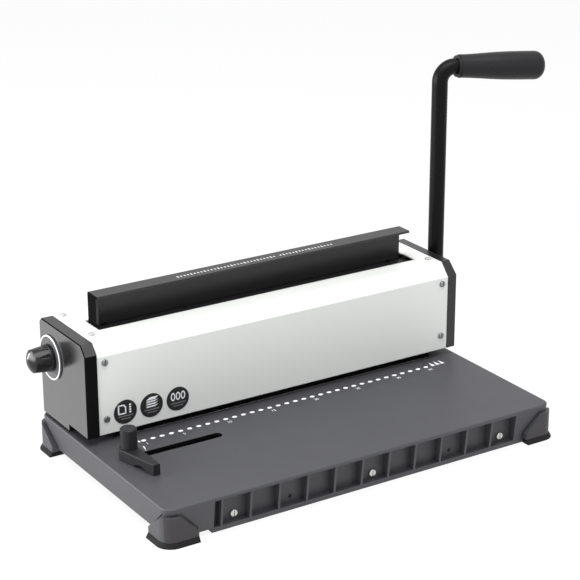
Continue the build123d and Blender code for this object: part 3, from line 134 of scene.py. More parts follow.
def math_node(tree, operation, first, second):
    """A maths node fed by outputs or numbers."""
    node = tree.nodes.new("ShaderNodeMath")
    node.operation = operation
    feed(tree, node.inputs[0], first)
    feed(tree, node.inputs[1], second)
    return node.outputs[0]


def white_rays(tree):
    """A value that is 1 for the rays that look for the white background: the eye's, gloss and glass."""
    path = tree.nodes.new("ShaderNodeLightPath").outputs
    eye_or_gloss = math_node(tree, "MAXIMUM", path["Is Camera Ray"], path["Is Glossy Ray"])
    return math_node(tree, "MAXIMUM", eye_or_gloss, path["Is Transmission Ray"])


print("wiring helpers ready")


# %% World: white for the eye and for gloss, dim for the rest
def background(tree, colour, strength):
    """A background shader of one colour."""
    node = tree.nodes.new("ShaderNodeBackground")
    node.inputs["Color"].default_value = colour
    node.inputs["Strength"].default_value = strength
    return node.outputs["Background"]


scene.view_settings.view_transform = "Standard"
world = bpy.data.worlds.new("studio")
world.use_nodes = True
scene.world = world
world_tree = world.node_tree
world_tree.nodes.clear()
world_out = world_tree.nodes.new("ShaderNodeOutputWorld")
world_mix = world_tree.nodes.new("ShaderNodeMixShader")
room_colour, room_strength = (0.97, 0.98, 1.0, 1), 0.66
seen_white = background(world_tree, (1, 1, 1, 1), 1.0)
room_light = background(world_tree, room_colour, room_strength)
world_tree.links.new(white_rays(world_tree), world_mix.inputs["Fac"])
world_tree.links.new(room_light, world_mix.inputs[1])
world_tree.links.new(seen_white, world_mix.inputs[2])
world_tree.links.new(world_mix.outputs["Shader"], world_out.inputs["Surface"])
print("world ready")


# %% Soft boxes
def soft_box(name, place, aim, size, watts):
    """A rectangular lamp at a place, aimed at a point, both in millimetres from the base's middle."""
    data = bpy.data.lights.new(name, "AREA")
    data.shape = "RECTANGLE"
    data.size, data.size_y = size
    data.energy = watts
    lamp = bpy.data.objects.new(name, data)
    here, there = from_base(*place), from_base(*aim)
    lamp.location = here
    lamp.rotation_euler = (there - here).to_track_quat("-Z", "Y").to_euler()
    scene.collection.objects.link(lamp)


soft_box("top_box", place=(-200, -250, 1500), aim=(0, 0, 60), size=(1.6, 1.2), watts=25.5)
soft_box("left_box", place=(-1450, 650, 300), aim=(-100, 20, 60), size=(1.5, 0.8), watts=32)
soft_box("front_box", place=(500, -1700, 700), aim=(0, 0, 60), size=(1.4, 1.0), watts=2)

# %% Floor
reach = 12.0
floor_corners = [(-reach, -reach, 0), (reach, -reach, 0), (reach, reach, 0), (-reach, reach, 0)]
floor_mesh = bpy.data.meshes.new("paper_floor")
floor_mesh.from_pydata(floor_corners, [], [(0, 1, 2, 3)])
floor_mesh.update()
floor = bpy.data.objects.new("paper_floor", floor_mesh)
scene.collection.objects.link(floor)
print("floor", reach, "m each way")

# %% White paper on the floor
glow_share = 0.88
floor_material = bpy.data.materials.new("white_paper")
floor_material.use_nodes = True
floor_tree = floor_material.node_tree
floor_tree.nodes.clear()
floor_out = floor_tree.nodes.new("ShaderNodeOutputMaterial")
floor_mix = floor_tree.nodes.new("ShaderNodeMixShader")
paper = floor_tree.nodes.new("ShaderNodeBsdfDiffuse")
paper.inputs["Color"].default_value = (0.9, 0.9, 0.9, 1)
glow = floor_tree.nodes.new("ShaderNodeEmission")
glow.inputs["Color"].default_value = (1, 1, 1, 1)
glow.inputs["Strength"].default_value = 1.0
glow_part = math_node(floor_tree, "MULTIPLY", white_rays(floor_tree), glow_share)
floor_tree.links.new(glow_part, floor_mix.inputs["Fac"])
floor_tree.links.new(paper.outputs[0], floor_mix.inputs[1])
floor_tree.links.new(glow.outputs[0], floor_mix.inputs[2])
floor_tree.links.new(floor_mix.outputs[0], floor_out.inputs["Surface"])
floor_mesh.materials.append(floor_material)
print("paper glows to", glow_share, "of full white")

# %% [markdown]
# ## Shared effects
#
# Real surfaces are never one flat tone. Four effects turn up again and again on this machine, so each
# is built once as a node group with its own sockets and then placed in every finish that needs it:
# the fine grain of moulded plastic, the orange peel of powder coat, the fine lines of brushed or drawn
# metal, and edges that are a little rounded and rubbed. A group only gives out masks, values and
# normals. The shader itself stays in each material, so the finishes stay easy to read and to export.

# %% Helpers for node groups
FLOAT, VECTOR = "NodeSocketFloat", "NodeSocketVector"
surface_outputs = [("Height", FLOAT), ("Tone", FLOAT), ("Gloss", FLOAT)]


def new_group(name, inputs, outputs):
    """A shader group with named sockets: (name, type, default) for inputs, (name, type) for outputs."""
    group = bpy.data.node_groups.new(name, "ShaderNodeTree")
    for label, kind, default in inputs:
        socket = group.interface.new_socket(name=label, in_out="INPUT", socket_type=kind)
        socket.default_value = default
    for label, kind in outputs:
        group.interface.new_socket(name=label, in_out="OUTPUT", socket_type=kind)
    return group, group.nodes.new("NodeGroupInput"), group.nodes.new("NodeGroupOutput")


def object_place(tree):
    """The place on the piece itself, so that a texture moves with its piece."""
    return tree.nodes.new("ShaderNodeTexCoord").outputs["Object"]


def noise(tree, place, scale, detail=2.0, roughness=0.5):
    """A noise texture, whose scale is a number or an output."""
    node = tree.nodes.new("ShaderNodeTexNoise")
    node.inputs["Detail"].default_value = detail
    node.inputs["Roughness"].default_value = roughness
    tree.links.new(place, node.inputs["Vector"])
    feed(tree, node.inputs["Scale"], scale)
    return node.outputs["Fac"]


def swing(tree, value, amount):
    """A value that wanders about one half, as one that wanders about zero, times an amount."""
    return math_node(tree, "MULTIPLY", math_node(tree, "SUBTRACT", value, 0.5), amount)


print("group helpers ready")

# %% Moulded grain
grain_group, grain_in, grain_out = new_group(
    "moulded_grain", [("Scale", FLOAT, 1400.0), ("Depth", FLOAT, 0.35), ("Cloud", FLOAT, 0.5)],
    surface_outputs)
grain_place = object_place(grain_group)
pits = grain_group.nodes.new("ShaderNodeTexVoronoi")
grain_group.links.new(grain_place, pits.inputs["Vector"])
grain_group.links.new(grain_in.outputs["Scale"], pits.inputs["Scale"])
fine = noise(grain_group, grain_place, grain_in.outputs["Scale"])
grains = math_node(grain_group, "ADD", pits.outputs["Distance"], fine)
grain_height = math_node(grain_group, "MULTIPLY", grains, grain_in.outputs["Depth"])
clouds = noise(grain_group, grain_place, 22.0, detail=4.0, roughness=0.6)
smears = noise(grain_group, grain_place, 55.0, detail=5.0, roughness=0.65)
grain_group.links.new(grain_height, grain_out.inputs["Height"])
grain_group.links.new(swing(grain_group, clouds, grain_in.outputs["Cloud"]), grain_out.inputs["Tone"])
grain_group.links.new(swing(grain_group, smears, grain_in.outputs["Cloud"]), grain_out.inputs["Gloss"])
print("moulded grain group:", len(grain_group.nodes), "nodes")

# %% Orange peel of powder coat
peel_group, peel_in, peel_out = new_group(
    "orange_peel", [("Scale", FLOAT, 700.0), ("Depth", FLOAT, 0.2), ("Cloud", FLOAT, 0.3)],
    surface_outputs)
speck_share = 0.25
peel_place = object_place(peel_group)
waves = noise(peel_group, peel_place, peel_in.outputs["Scale"], detail=1.0)
specks = noise(peel_group, peel_place, 2600.0, detail=0.0)
peel = math_node(peel_group, "ADD", waves, math_node(peel_group, "MULTIPLY", specks, speck_share))
peel_height = math_node(peel_group, "MULTIPLY", peel, peel_in.outputs["Depth"])
drifts = noise(peel_group, peel_place, 9.0, detail=3.0)
rubs = noise(peel_group, peel_place, 40.0, detail=4.0)
peel_group.links.new(peel_height, peel_out.inputs["Height"])
peel_group.links.new(swing(peel_group, drifts, peel_in.outputs["Cloud"]), peel_out.inputs["Tone"])
peel_group.links.new(swing(peel_group, rubs, peel_in.outputs["Cloud"]), peel_out.inputs["Gloss"])
print("orange peel group:", len(peel_group.nodes), "nodes")

# %% Drawn and brushed metal
brush_group, brush_in, brush_out = new_group(
    "drawn_lines", [("Along", VECTOR, (1.0, 1.0, 1.0)), ("Depth", FLOAT, 0.2), ("Cloud", FLOAT, 0.4)],
    surface_outputs)
stretch = brush_group.nodes.new("ShaderNodeVectorMath")
stretch.operation = "MULTIPLY"
brush_group.links.new(object_place(brush_group), stretch.inputs[0])
brush_group.links.new(brush_in.outputs["Along"], stretch.inputs[1])
lines = noise(brush_group, stretch.outputs["Vector"], 1.0, detail=3.0, roughness=0.7)
line_height = math_node(brush_group, "MULTIPLY", lines, brush_in.outputs["Depth"])
line_tone = swing(brush_group, lines, brush_in.outputs["Cloud"])
brush_group.links.new(line_height, brush_out.inputs["Height"])
brush_group.links.new(line_tone, brush_out.inputs["Tone"])
brush_group.links.new(line_tone, brush_out.inputs["Gloss"])
print("drawn lines group:", len(brush_group.nodes), "nodes")

# %% Rounded and rubbed edges
edge_group, edge_in, edge_out = new_group(
    "soft_edges", [("Breadth", FLOAT, 0.0006), ("Rub", FLOAT, 0.6)], [("Normal", VECTOR), ("Mask", FLOAT)])
mask_gain = 5.0
rounding = edge_group.nodes.new("ShaderNodeBevel")
rounding.samples = 4
edge_group.links.new(edge_in.outputs["Breadth"], rounding.inputs["Radius"])
facing = edge_group.nodes.new("ShaderNodeNewGeometry")
apart = edge_group.nodes.new("ShaderNodeVectorMath")
apart.operation = "DOT_PRODUCT"
edge_group.links.new(rounding.outputs["Normal"], apart.inputs[0])
edge_group.links.new(facing.outputs["Normal"], apart.inputs[1])
turned_away = math_node(edge_group, "SUBTRACT", 1.0, apart.outputs["Value"])
on_edge = math_node(edge_group, "MINIMUM", math_node(edge_group, "MULTIPLY", turned_away, mask_gain), 1.0)
patches = noise(edge_group, object_place(edge_group), 90.0, detail=4.0, roughness=0.7)
rubbed = math_node(edge_group, "MULTIPLY", patches, edge_in.outputs["Rub"])
edge_group.links.new(rounding.outputs["Normal"], edge_out.inputs["Normal"])
edge_group.links.new(math_node(edge_group, "MULTIPLY", on_edge, rubbed), edge_out.inputs["Mask"])
print("soft edges group:", len(edge_group.nodes), "nodes")

# %% [markdown]
# ## Finishes
#
# Every finish follows one recipe: a base colour that drifts a little, another tone where edges are
# rubbed, a roughness that varies, and a fine relief. One function wires that recipe, and each finish
# gives it its own colour, gloss and surface group. The colours were found by comparing renders with
# the photograph. They are written as 8-bit values and turned into the linear values that the shader
# wants.


# %% A recipe for finishes
def linear(red, green, blue):
    """An 8-bit colour as linear values."""
    return tuple(((c / 255) / 12.92 if c <= 10 else ((c / 255 + 0.055) / 1.055) ** 2.4)
                 for c in (red, green, blue)) + (1.0,)


relief_depth = 0.0002


def finish(name, colour, roughness, surface, settings, metallic=0.0, edge=None, rub=0.4, breadth=0.0005,
           coat=0.0, relief=0.3, shine=0.5, coat_roughness=0.2):
    """A material: a surface group for tone, gloss and relief, and soft edges whose rubbed tone is edge."""
    material = bpy.data.materials.new(name)
    material.use_nodes = True
    tree = material.node_tree
    shader = tree.nodes["Principled BSDF"]
    shader.inputs["Metallic"].default_value = metallic
    shader.inputs["Coat Weight"].default_value = coat
    shader.inputs["Coat Roughness"].default_value = coat_roughness
    shader.inputs["Specular IOR Level"].default_value = shine
    skin = tree.nodes.new("ShaderNodeGroup")
    skin.node_tree = surface
    for label, value in settings.items():
        skin.inputs[label].default_value = value
    edges = tree.nodes.new("ShaderNodeGroup")
    edges.node_tree = edge_group
    edges.inputs["Breadth"].default_value = breadth
    edges.inputs["Rub"].default_value = rub
    shade = tree.nodes.new("ShaderNodeHueSaturation")
    shade.inputs["Color"].default_value = linear(*colour)
    tree.links.new(math_node(tree, "ADD", skin.outputs["Tone"], 1.0), shade.inputs["Value"])
    worn = tree.nodes.new("ShaderNodeMix")
    worn.data_type = "RGBA"
    worn.inputs["B"].default_value = linear(*(edge or colour))
    tree.links.new(edges.outputs["Mask"], worn.inputs["Factor"])
    tree.links.new(shade.outputs["Color"], worn.inputs["A"])
    tree.links.new(worn.outputs["Result"], shader.inputs["Base Color"])
    tree.links.new(math_node(tree, "ADD", skin.outputs["Gloss"], roughness), shader.inputs["Roughness"])
    bump = tree.nodes.new("ShaderNodeBump")
    bump.inputs["Strength"].default_value = relief
    bump.inputs["Distance"].default_value = relief_depth
    tree.links.new(skin.outputs["Height"], bump.inputs["Height"])
    tree.links.new(edges.outputs["Normal"], bump.inputs["Normal"])
    tree.links.new(bump.outputs["Normal"], shader.inputs["Normal"])
    return material


print("recipe ready")

# %% Plastics and rubber
tray_plastic = finish("grained_tray_plastic", (64, 64, 68), 0.48, grain_group,
                      {"Scale": 1500.0, "Depth": 0.5, "Cloud": 0.10}, edge=(84, 84, 88), rub=0.5, shine=0.45)
# A darker plastic with a brownish tint, for the fronts of the legs: painted shade.
leg_front_painted_shade = finish("leg_front_painted_shade", (55, 52, 55), 0.48, grain_group,
                     {"Scale": 1500.0, "Depth": 0.5, "Cloud": 0.10}, edge=(84, 84, 88), rub=0.5, shine=0.35)
# The edge tone of the cover is darker than its face: a dark line along each edge.
cover_plastic = finish("black_cover_plastic", (22, 22, 24), 0.32, grain_group,
                       {"Scale": 1700.0, "Depth": 0.4, "Cloud": 0.10}, edge=(14, 14, 15), rub=0.6,
                       breadth=0.0001, shine=0.5)
cover_gloss = finish("glossy_cover_face", (22, 22, 24), 0.2, grain_group,
                     {"Scale": 1700.0, "Depth": 0.4, "Cloud": 0.10}, edge=(14, 14, 15), rub=0.6,
                     breadth=0.0001, coat=0.7, shine=0.75, coat_roughness=0.15)
drawer_plastic = finish("drawer_plastic", (52, 52, 56), 0.48, grain_group,
                        {"Scale": 1500.0, "Depth": 0.5, "Cloud": 0.12}, edge=(92, 92, 96))
guide_plastic = finish("guide_plastic", (33, 33, 36), 0.4, grain_group,
                       {"Scale": 1700.0, "Depth": 0.4, "Cloud": 0.10}, edge=(60, 60, 64),
                       breadth=0.0002, shine=0.2)
knob_plastic = finish("knob_plastic", (14, 14, 16), 0.22, grain_group,
                      {"Scale": 1900.0, "Depth": 0.3, "Cloud": 0.10}, edge=(70, 70, 72),
                      breadth=0.0003, shine=0.4)
grip_plastic = finish("grip_plastic", (23, 22, 25), 0.42, grain_group,
                      {"Scale": 1600.0, "Depth": 0.35, "Cloud": 0.12}, edge=(50, 50, 53), shine=0.25)
dial_face = finish("satin_dial_face", (84, 84, 87), 0.4, grain_group,
                   {"Scale": 2200.0, "Depth": 0.15, "Cloud": 0.06}, edge=(210, 210, 208))
foot_rubber = finish("foot_rubber", (22, 21, 22), 0.8, grain_group,
                     {"Scale": 900.0, "Depth": 0.8, "Cloud": 0.2}, edge=(50, 49, 49), relief=0.5, shine=0.25)
print("plastics and rubber ready")

# %% Paints and coats
housing_paint = finish("off_white_powder_coat", (222, 224, 220), 0.42, peel_group,
                       {"Scale": 650.0, "Depth": 0.25, "Cloud": 0.05}, edge=(235, 235, 232),
                       rub=0.3, coat=0.1)
closer_paint = finish("dark_powder_coat", (32, 31, 33), 0.4, peel_group,
                      {"Scale": 750.0, "Depth": 0.25, "Cloud": 0.12}, edge=(78, 77, 80), rub=0.4)
lever_paint = finish("black_powder_coat", (10, 9, 10), 0.34, peel_group,
                     {"Scale": 800.0, "Depth": 0.3, "Cloud": 0.12}, edge=(40, 39, 41), rub=0.4, shine=0.12)
# A dull black with no shine. The closer's screws take it. Elsewhere it is painted shade: on the paper stop
# under the housing, the left end of the closing bar, the left cover's edges and front band, and the walls of
# the guide's slot.
black_and_painted_shade = finish("dull_black_and_painted_shade", (20, 20, 21), 0.7, peel_group,
                    {"Scale": 800.0, "Depth": 0.3, "Cloud": 0.12}, edge=(34, 34, 36), shine=0.0)
# The top cover's screws take a flat pale paint in place of their metal reflecting the white room: a painted
# reflection.
pale_screw_reflection = finish("screw_heads_painted_reflection", (186, 187, 184), 0.5, peel_group,
                     {"Scale": 900.0, "Depth": 0.2, "Cloud": 0.05}, breadth=0.0003)
print("paints and coats ready")

# %% Bare metals
bright_steel = finish("drawn_bright_steel", (188, 188, 190), 0.26, brush_group,
                      {"Along": (12.0, 2400.0, 2400.0), "Depth": 0.4, "Cloud": 0.14}, metallic=1.0,
                      edge=(215, 215, 215))
tool_steel = finish("ground_tool_steel", (148, 148, 151), 0.34, brush_group,
                    {"Along": (1600.0, 60.0, 1600.0), "Depth": 0.4, "Cloud": 0.16}, metallic=1.0,
                    edge=(200, 200, 200))
zinc_sheet = finish("zinc_plated_sheet", (182, 181, 174), 0.42, brush_group,
                    {"Along": (60.0, 60.0, 60.0), "Depth": 0.2, "Cloud": 0.3}, metallic=1.0,
                    edge=(205, 204, 200))
screw_steel = finish("nickel_plated_screws", (205, 203, 198), 0.24, brush_group,
                     {"Along": (1500.0, 1500.0, 1500.0), "Depth": 0.2, "Cloud": 0.12}, metallic=1.0,
                     edge=(225, 225, 222), breadth=0.0003)
beam_aluminium = finish("milled_aluminium", (200, 201, 203), 0.36, brush_group,
                        {"Along": (900.0, 30.0, 900.0), "Depth": 0.35, "Cloud": 0.12}, metallic=1.0,
                        edge=(225, 225, 225))
spring_steel = finish("spring_wire", (120, 120, 124), 0.3, brush_group,
                      {"Along": (900.0, 900.0, 900.0), "Depth": 0.2, "Cloud": 0.15}, metallic=1.0,
                      edge=(170, 170, 172))
bush_brass = finish("turned_brass", (190, 152, 84), 0.28, brush_group,
                    {"Along": (2200.0, 90.0, 90.0), "Depth": 0.35, "Cloud": 0.14}, metallic=1.0,
                    edge=(225, 195, 130))
print("metals ready")

# %% Give every node its finish
finish_of_slot = {
    "tray_plastic": tray_plastic, "cover_plastic": cover_plastic, "drawer_plastic": drawer_plastic,
    "guide_plastic": guide_plastic, "knob_plastic": knob_plastic, "grip_plastic": grip_plastic,
    "dial_white": dial_face, "foot_rubber": foot_rubber, "housing_paint": housing_paint,
    "closer_paint": closer_paint, "lever_paint": lever_paint, "bright_steel": bright_steel,
    "tool_steel": tool_steel, "zinc_sheet": zinc_sheet, "fixing_steel": screw_steel,
    "beam_aluminium": beam_aluminium, "spring_steel": spring_steel, "bush_brass": bush_brass,
}
# The paper stop, in the dark gap under the housing, takes the dull black as painted shade, and the closer's
# screws take the same black. The top cover's screws take a flat pale paint in place of the metal's
# reflection: a painted reflection.
own_finish = {
    "closer_screws": black_and_painted_shade, "paper_stop": black_and_painted_shade, "guide_knob": guide_plastic,
    "top_cover_screws": pale_screw_reflection, "front_cover_screws": tool_steel,
}
slot_of_node = {s["node"]: s["material_slot"] for s in frame["record"]["subparts"]}
for name, node in nodes.items():
    node.data.materials.clear()
    node.data.materials.append(own_finish.get(name, finish_of_slot[slot_of_node[name]]))
print("finished", len(nodes), "nodes,", len(own_finish), "of them not by their slot")

# %% [markdown]
# ## Faces with a finish of their own
#
# A few faces look much lighter or darker than the rest of their piece, because they face a bright or a
# dark side of the room. Lamps could do it, but they would change the other pieces too. So these faces
# take a second or third material of their piece, by its slot number, and the mesh stays as it is. A
# face is chosen by where it lies and by how squarely its normal points to one side, from 0 to 1.


# %% The left end of the closing bar
def add_finishes(node_name, *materials):
    """Adds materials to a node, as slot 1, 2 and so on, and gives back its mesh."""
    mesh = nodes[node_name].data
    for material in materials:
        mesh.materials.append(material)
    return mesh


# The bar's left end face takes the dull black as painted shade, so it stays dark instead of catching the
# light from the left.
bar_mesh = add_finishes("closer_bar", black_and_painted_shade)
bar_left = min(v.co.x for v in bar_mesh.vertices)
end_squareness, end_depth = 0.9, 1 * MM
for face in bar_mesh.polygons:
    if -face.normal.x > end_squareness and face.center.x < bar_left + end_depth:
        face.material_index = 1
print("bar end:", sum(f.material_index == 1 for f in bar_mesh.polygons), "faces")

# %% The outer face of the left cover, and its edges
# The cover's outer face takes a glossier coat. Its edges and its front band take the dull black as painted
# shade.
cover_mesh = add_finishes("left_side_cover", cover_gloss, black_and_painted_shade)
outer_squareness, edge_squareness, front_squareness = 0.97, 0.1, 0.9
for face in cover_mesh.polygons:
    if -face.normal.x > outer_squareness:
        face.material_index = 1
    elif -face.normal.x > edge_squareness or -face.normal.y > front_squareness:
        face.material_index = 2
print("left cover:", sum(f.material_index > 0 for f in cover_mesh.polygons), "faces")

# %% The walls of the guide's slot and the fronts of the legs
# The walls of the guide's slot take the dull black: painted shade in the slot. The fronts of the legs take a
# darker, brownish plastic: painted shade as well.
shell_mesh = add_finishes("base_shell", black_and_painted_shade, leg_front_painted_shade)
nut_low, nut_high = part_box("guide_nut")
slot_reach, wall_slope = 170 * MM, 0.5
leg_top, leg_squareness = 23 * MM, 0.5
flat_squareness, flat_depth, round_depth = 0.98, 1 * MM, 6 * MM
for face in shell_mesh.polygons:
    spot = nodes["base_shell"].matrix_world @ face.center
    in_slot = nut_low[1] < spot.y < nut_high[1] and abs(spot.x - middle_x) < slot_reach
    front_depth = flat_depth if -face.normal.y > flat_squareness else round_depth
    on_leg_front = spot.z < leg_top and spot.y < base_low[1] + front_depth
    if in_slot and abs(face.normal.z) < wall_slope:
        face.material_index = 1
    elif on_leg_front and -face.normal.y > leg_squareness:
        face.material_index = 2
print("base:", [sum(f.material_index == slot for f in shell_mesh.polygons) for slot in (1, 2)], "faces")

# %% [markdown]
# ## What is printed on the machine
#
# The tray carries a scale of one white dot for every hole, with a number at the first, at each fifth
# and at the last. The bar has a row of pale ticks, the front has three round badges, and the knob
# turns over a dial with a white rim. Prints could be painted in a texture, but then they would be soft
# when seen close. Here each mark is a thin raised shape, cut from its own outline, so that it stays
# crisp and lies exactly on what carries it.


# %% Inks
def ink(name, colour, roughness):
    """A print colour: nearly flat, with very fine edges."""
    return finish(name, colour, roughness, grain_group, {"Scale": 2500.0, "Depth": 0.1, "Cloud": 0.04},
                  breadth=0.0001)


print_white = ink("white_ink", (236, 236, 238), 0.45)
print_pale = ink("pale_ink", (196, 196, 199), 0.5)
print_grey = ink("grey_ink", (112, 112, 114), 0.45)
print_black = ink("black_ink", (18, 18, 19), 0.5)
badge_black = finish("black_badge_film", (22, 22, 24), 0.42, peel_group,
                     {"Scale": 900.0, "Depth": 0.15, "Cloud": 0.06}, edge=(60, 60, 62), breadth=0.0002)
print("inks ready")


# %% Outlines in millimetres
def oval(x, y, half_wide, half_high, points=24):
    """A closed oval, counter-clockwise."""
    turns = [2 * math.pi * i / points for i in range(points)]
    return [(x + half_wide * math.cos(t), y + half_high * math.sin(t)) for t in turns]


def stroke(x0, y0, x1, y1, wide):
    """A straight bar between two points."""
    length = math.hypot(x1 - x0, y1 - y0)
    side_x, side_y = -(y1 - y0) / length * wide / 2, (x1 - x0) / length * wide / 2
    return [(x0 - side_x, y0 - side_y), (x1 - side_x, y1 - side_y), (x1 + side_x, y1 + side_y),
            (x0 + side_x, y0 + side_y)]


print("an oval has", len(oval(0, 0, 1, 1)), "points")


# %% A thin raised print
class Print:
    """Marks that lie on one plane of the machine, in one mesh. right and up span the plane."""

    ink_height = 0.05
    weld_distance = 1e-7

    def __init__(self, origin, right, up):
        self.work = bmesh.new()
        right, up = Vector(right).normalized(), Vector(up).normalized()
        self.plane = Matrix((right * MM, up * MM, right.cross(up) * MM)).transposed().to_4x4()
        self.plane.translation = origin

    def skin(self, loops, closed=False):
        """Loops of (x, y, height) points joined in order, with capped ends or closed into a ring."""
        rows = [[self.work.verts.new(self.plane @ Vector(point)) for point in loop] for loop in loops]
        for below, above in zip(rows, rows[1:] + (rows[:1] if closed else [])):
            for i in range(len(below)):
                j = (i + 1) % len(below)
                self.work.faces.new((below[i], below[j], above[j], above[i]))
        if not closed:
            self.work.faces.new(rows[-1])
            self.work.faces.new(rows[0][::-1])

    def area(self, outer, inner=None):
        """An outline raised to the ink's height, with a hole where a second outline is given."""
        loops = [[(x, y, z) for x, y in outer] for z in (0.0, self.ink_height)]
        if inner is not None:
            loops += [[(x, y, z) for x, y in inner] for z in (self.ink_height, 0.0)]
        self.skin(loops, closed=inner is not None)

    def turned(self, radius, profile, points, closed=False):
        """A round form from a profile of (distance in from the rim, height)."""
        self.skin([[(x, y, high) for x, y in oval(0, 0, radius - inset, radius - inset, points)]
                   for inset, high in profile], closed)

    def number(self, text, x, y, size):
        """A number in Blender's built-in letters, centred on a point."""
        curve = bpy.data.curves.new("number", "FONT")
        curve.body = str(text)
        curve.size = size
        curve.align_x, curve.align_y = "CENTER", "CENTER"
        curve.extrude = self.ink_height / 2
        holder = bpy.data.objects.new("number", curve)
        scene.collection.objects.link(holder)
        bpy.context.view_layer.update()
        mesh = bpy.data.meshes.new_from_object(holder.evaluated_get(bpy.context.evaluated_depsgraph_get()))
        mesh.transform(self.plane @ Matrix.Translation((x, y, self.ink_height / 2)))
        self.work.from_mesh(mesh)
        bpy.data.objects.remove(holder)
        bpy.data.curves.remove(curve)
        bpy.data.meshes.remove(mesh)

    def done(self, name, ink_material, body):
        """Makes the object, riding on its body."""
        bmesh.ops.remove_doubles(self.work, verts=self.work.verts, dist=self.weld_distance)
        bmesh.ops.recalc_face_normals(self.work, faces=self.work.faces)
        mesh = bpy.data.meshes.new(name)
        self.work.to_mesh(mesh)
        self.work.free()
        obj = bpy.data.objects.new(name, mesh)
        scene.collection.objects.link(obj)
        mesh.materials.append(ink_material)
        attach(obj, body)
        print(name, "has", len(mesh.polygons), "faces")


# %% [markdown]
# ## The hole scale on the tray
#
# Each punch pin has its dot in front of the housing, so the user can count holes and set the side
# guide. The dots could be copied with an Array modifier. A plain loop over the pins is as short, and
# lets the numbers and the marks at both ends be placed in the same pass.

# %% Dots and numbers
scale = Print(Vector((0, 0, tray_z)), (1, 0, 0), (0, 1, 0))
dot_y = middle_y / MM + 12.1
number_y = middle_y / MM + 5.6
dot_half_wide, dot_half_high = 2.2, 1.7
number_size, number_step = 4.4, 5
for k in range(hole_count):
    dot_x = (first_hole_x + k * hole_pitch) / MM
    scale.area(oval(dot_x, dot_y, dot_half_wide, dot_half_high))
    if k == 0 or (k + 1) % number_step == 0 or k == hole_count - 1:
        scale.number(k + 1, dot_x, number_y, number_size)
print("dots from", round(first_hole_x / MM, 1), "to", round(dot_x, 1), "mm")

# %% Marks at both ends of the scale
left_x, right_x = first_hole_x / MM, (first_hole_x + (hole_count - 1) * hole_pitch) / MM
stub_gap, stub_half_wide, stub_half_high = 4.0, 0.9, 1.5
scale.area(oval(left_x - stub_gap, dot_y, stub_half_wide, stub_half_high))
sliver = [(-7.5, -12.6), (-4.7, -3.2), (-5.9, -3.0)]
scale.area([(left_x + x, number_y + y) for x, y in sliver])
arrow_count, arrow_gap, arrow_pitch = 3, 7.6, 5.1
arrow_half_wide, arrow_foot, arrow_tip = 1.9, 1.2, 6.6
for k in range(arrow_count):
    tip = right_x + arrow_gap + arrow_pitch * k
    scale.area([(tip - arrow_half_wide, dot_y - arrow_foot), (tip + arrow_half_wide, dot_y - arrow_foot),
                (tip, dot_y + arrow_tip)])
scale.done("hole_scale", print_white, "base")

# %% [markdown]
# ## Round badges on the front
#
# Three black discs stand in a row on the off-white sheet. They could be flat circles, but a real badge
# is a thick film with a soft rim that catches the light, so each is turned from a small profile. On it
# stand plain signs, a sheet with its holes, a pile of sheets and three wire loops, over two grey lines.

# %% Three discs
badge_radius, badge_points, badge_height = 10.3, 56, 52.9
badge_profile = [(0.0, 0.0), (0.0, 0.28), (0.12, 0.42), (0.3, 0.5), (0.8, 0.52)]
badge_top = badge_profile[-1][1]
badge_places = {"sheet": -146.7, "pile": -122.9, "loops": -98.8}
badge_centres = {sign: Vector((middle_x + x * MM, front_y, badge_height * MM))
                 for sign, x in badge_places.items()}
for sign, centre in badge_centres.items():
    disc = Print(centre, (1, 0, 0), (0, 0, 1))
    disc.turned(badge_radius, badge_profile, badge_points)
    disc.done("badge_disc_" + sign, badge_black, "base")


# %% A sheet with its holes
def sign_on(sign):
    """A print that lies on top of one badge disc."""
    return Print(badge_centres[sign] - Vector((0, badge_top * MM, 0)), (1, 0, 0), (0, 0, 1))


sheet = sign_on("sheet")
sheet_line, hole_mark_count, hole_mark_pitch = 1.2, 4, 2.1
hole_mark_x, hole_mark_top, hole_mark_half_wide, hole_mark_half_high = 4.2, 5.6, 1.0, 0.8
sheet_outline = ((-6.2, -1.2, -6.2, 6.4), (-6.6, 6.2, -1.6, 6.2), (-1.8, 6.4, 0.3, 4.0),
                 (0.1, 4.3, 0.1, -1.2), (0.5, -1.0, -6.6, -1.0))
for x0, y0, x1, y1 in sheet_outline:
    sheet.area(stroke(x0, y0, x1, y1, sheet_line))
for k in range(hole_mark_count):
    hole_mark_y = hole_mark_top - hole_mark_pitch * k
    sheet.area(oval(hole_mark_x, hole_mark_y, hole_mark_half_wide, hole_mark_half_high))
sheet.done("badge_sign_sheet", print_white, "base")

# %% A pile of sheets
pile = sign_on("pile")
pile_sheets, pile_start, pile_pitch = 3, 0.2, 2.2
for k in range(pile_sheets):
    y = pile_start + pile_pitch * k
    pile.area([(-5.2, y - 1.5), (3.0, y - 1.5), (6.0, y + 0.1), (3.0, y - 0.3), (-4.4, y - 0.3)])
pile.area([(-5.2, 5.0), (3.0, 5.0), (6.2, 7.4), (-1.6, 7.4)])
pile.done("badge_sign_pile", print_white, "base")

# %% Three wire loops
loops = sign_on("loops")
loop_count, loop_pitch, loop_y = 3, 4.6, 2.6
loop_outer, loop_inner = (2.1, 3.6), (1.1, 2.5)
for k in range(loop_count):
    loop_x = loop_pitch * (k - 1)
    loops.area(oval(loop_x, loop_y, *loop_outer), oval(loop_x, loop_y, *loop_inner))
loops.done("badge_sign_loops", print_white, "base")

# %% Two lines under every sign
long_line, short_line = (-6.8, -3.4, 6.8, -3.4, 0.9), (-4.4, -5.7, 4.6, -5.7, 0.8)
for sign in badge_places:
    badge_lines = sign_on(sign)
    badge_lines.area(stroke(*long_line))
    badge_lines.area(stroke(*short_line))
    badge_lines.done("badge_lines_" + sign, print_grey, "base")

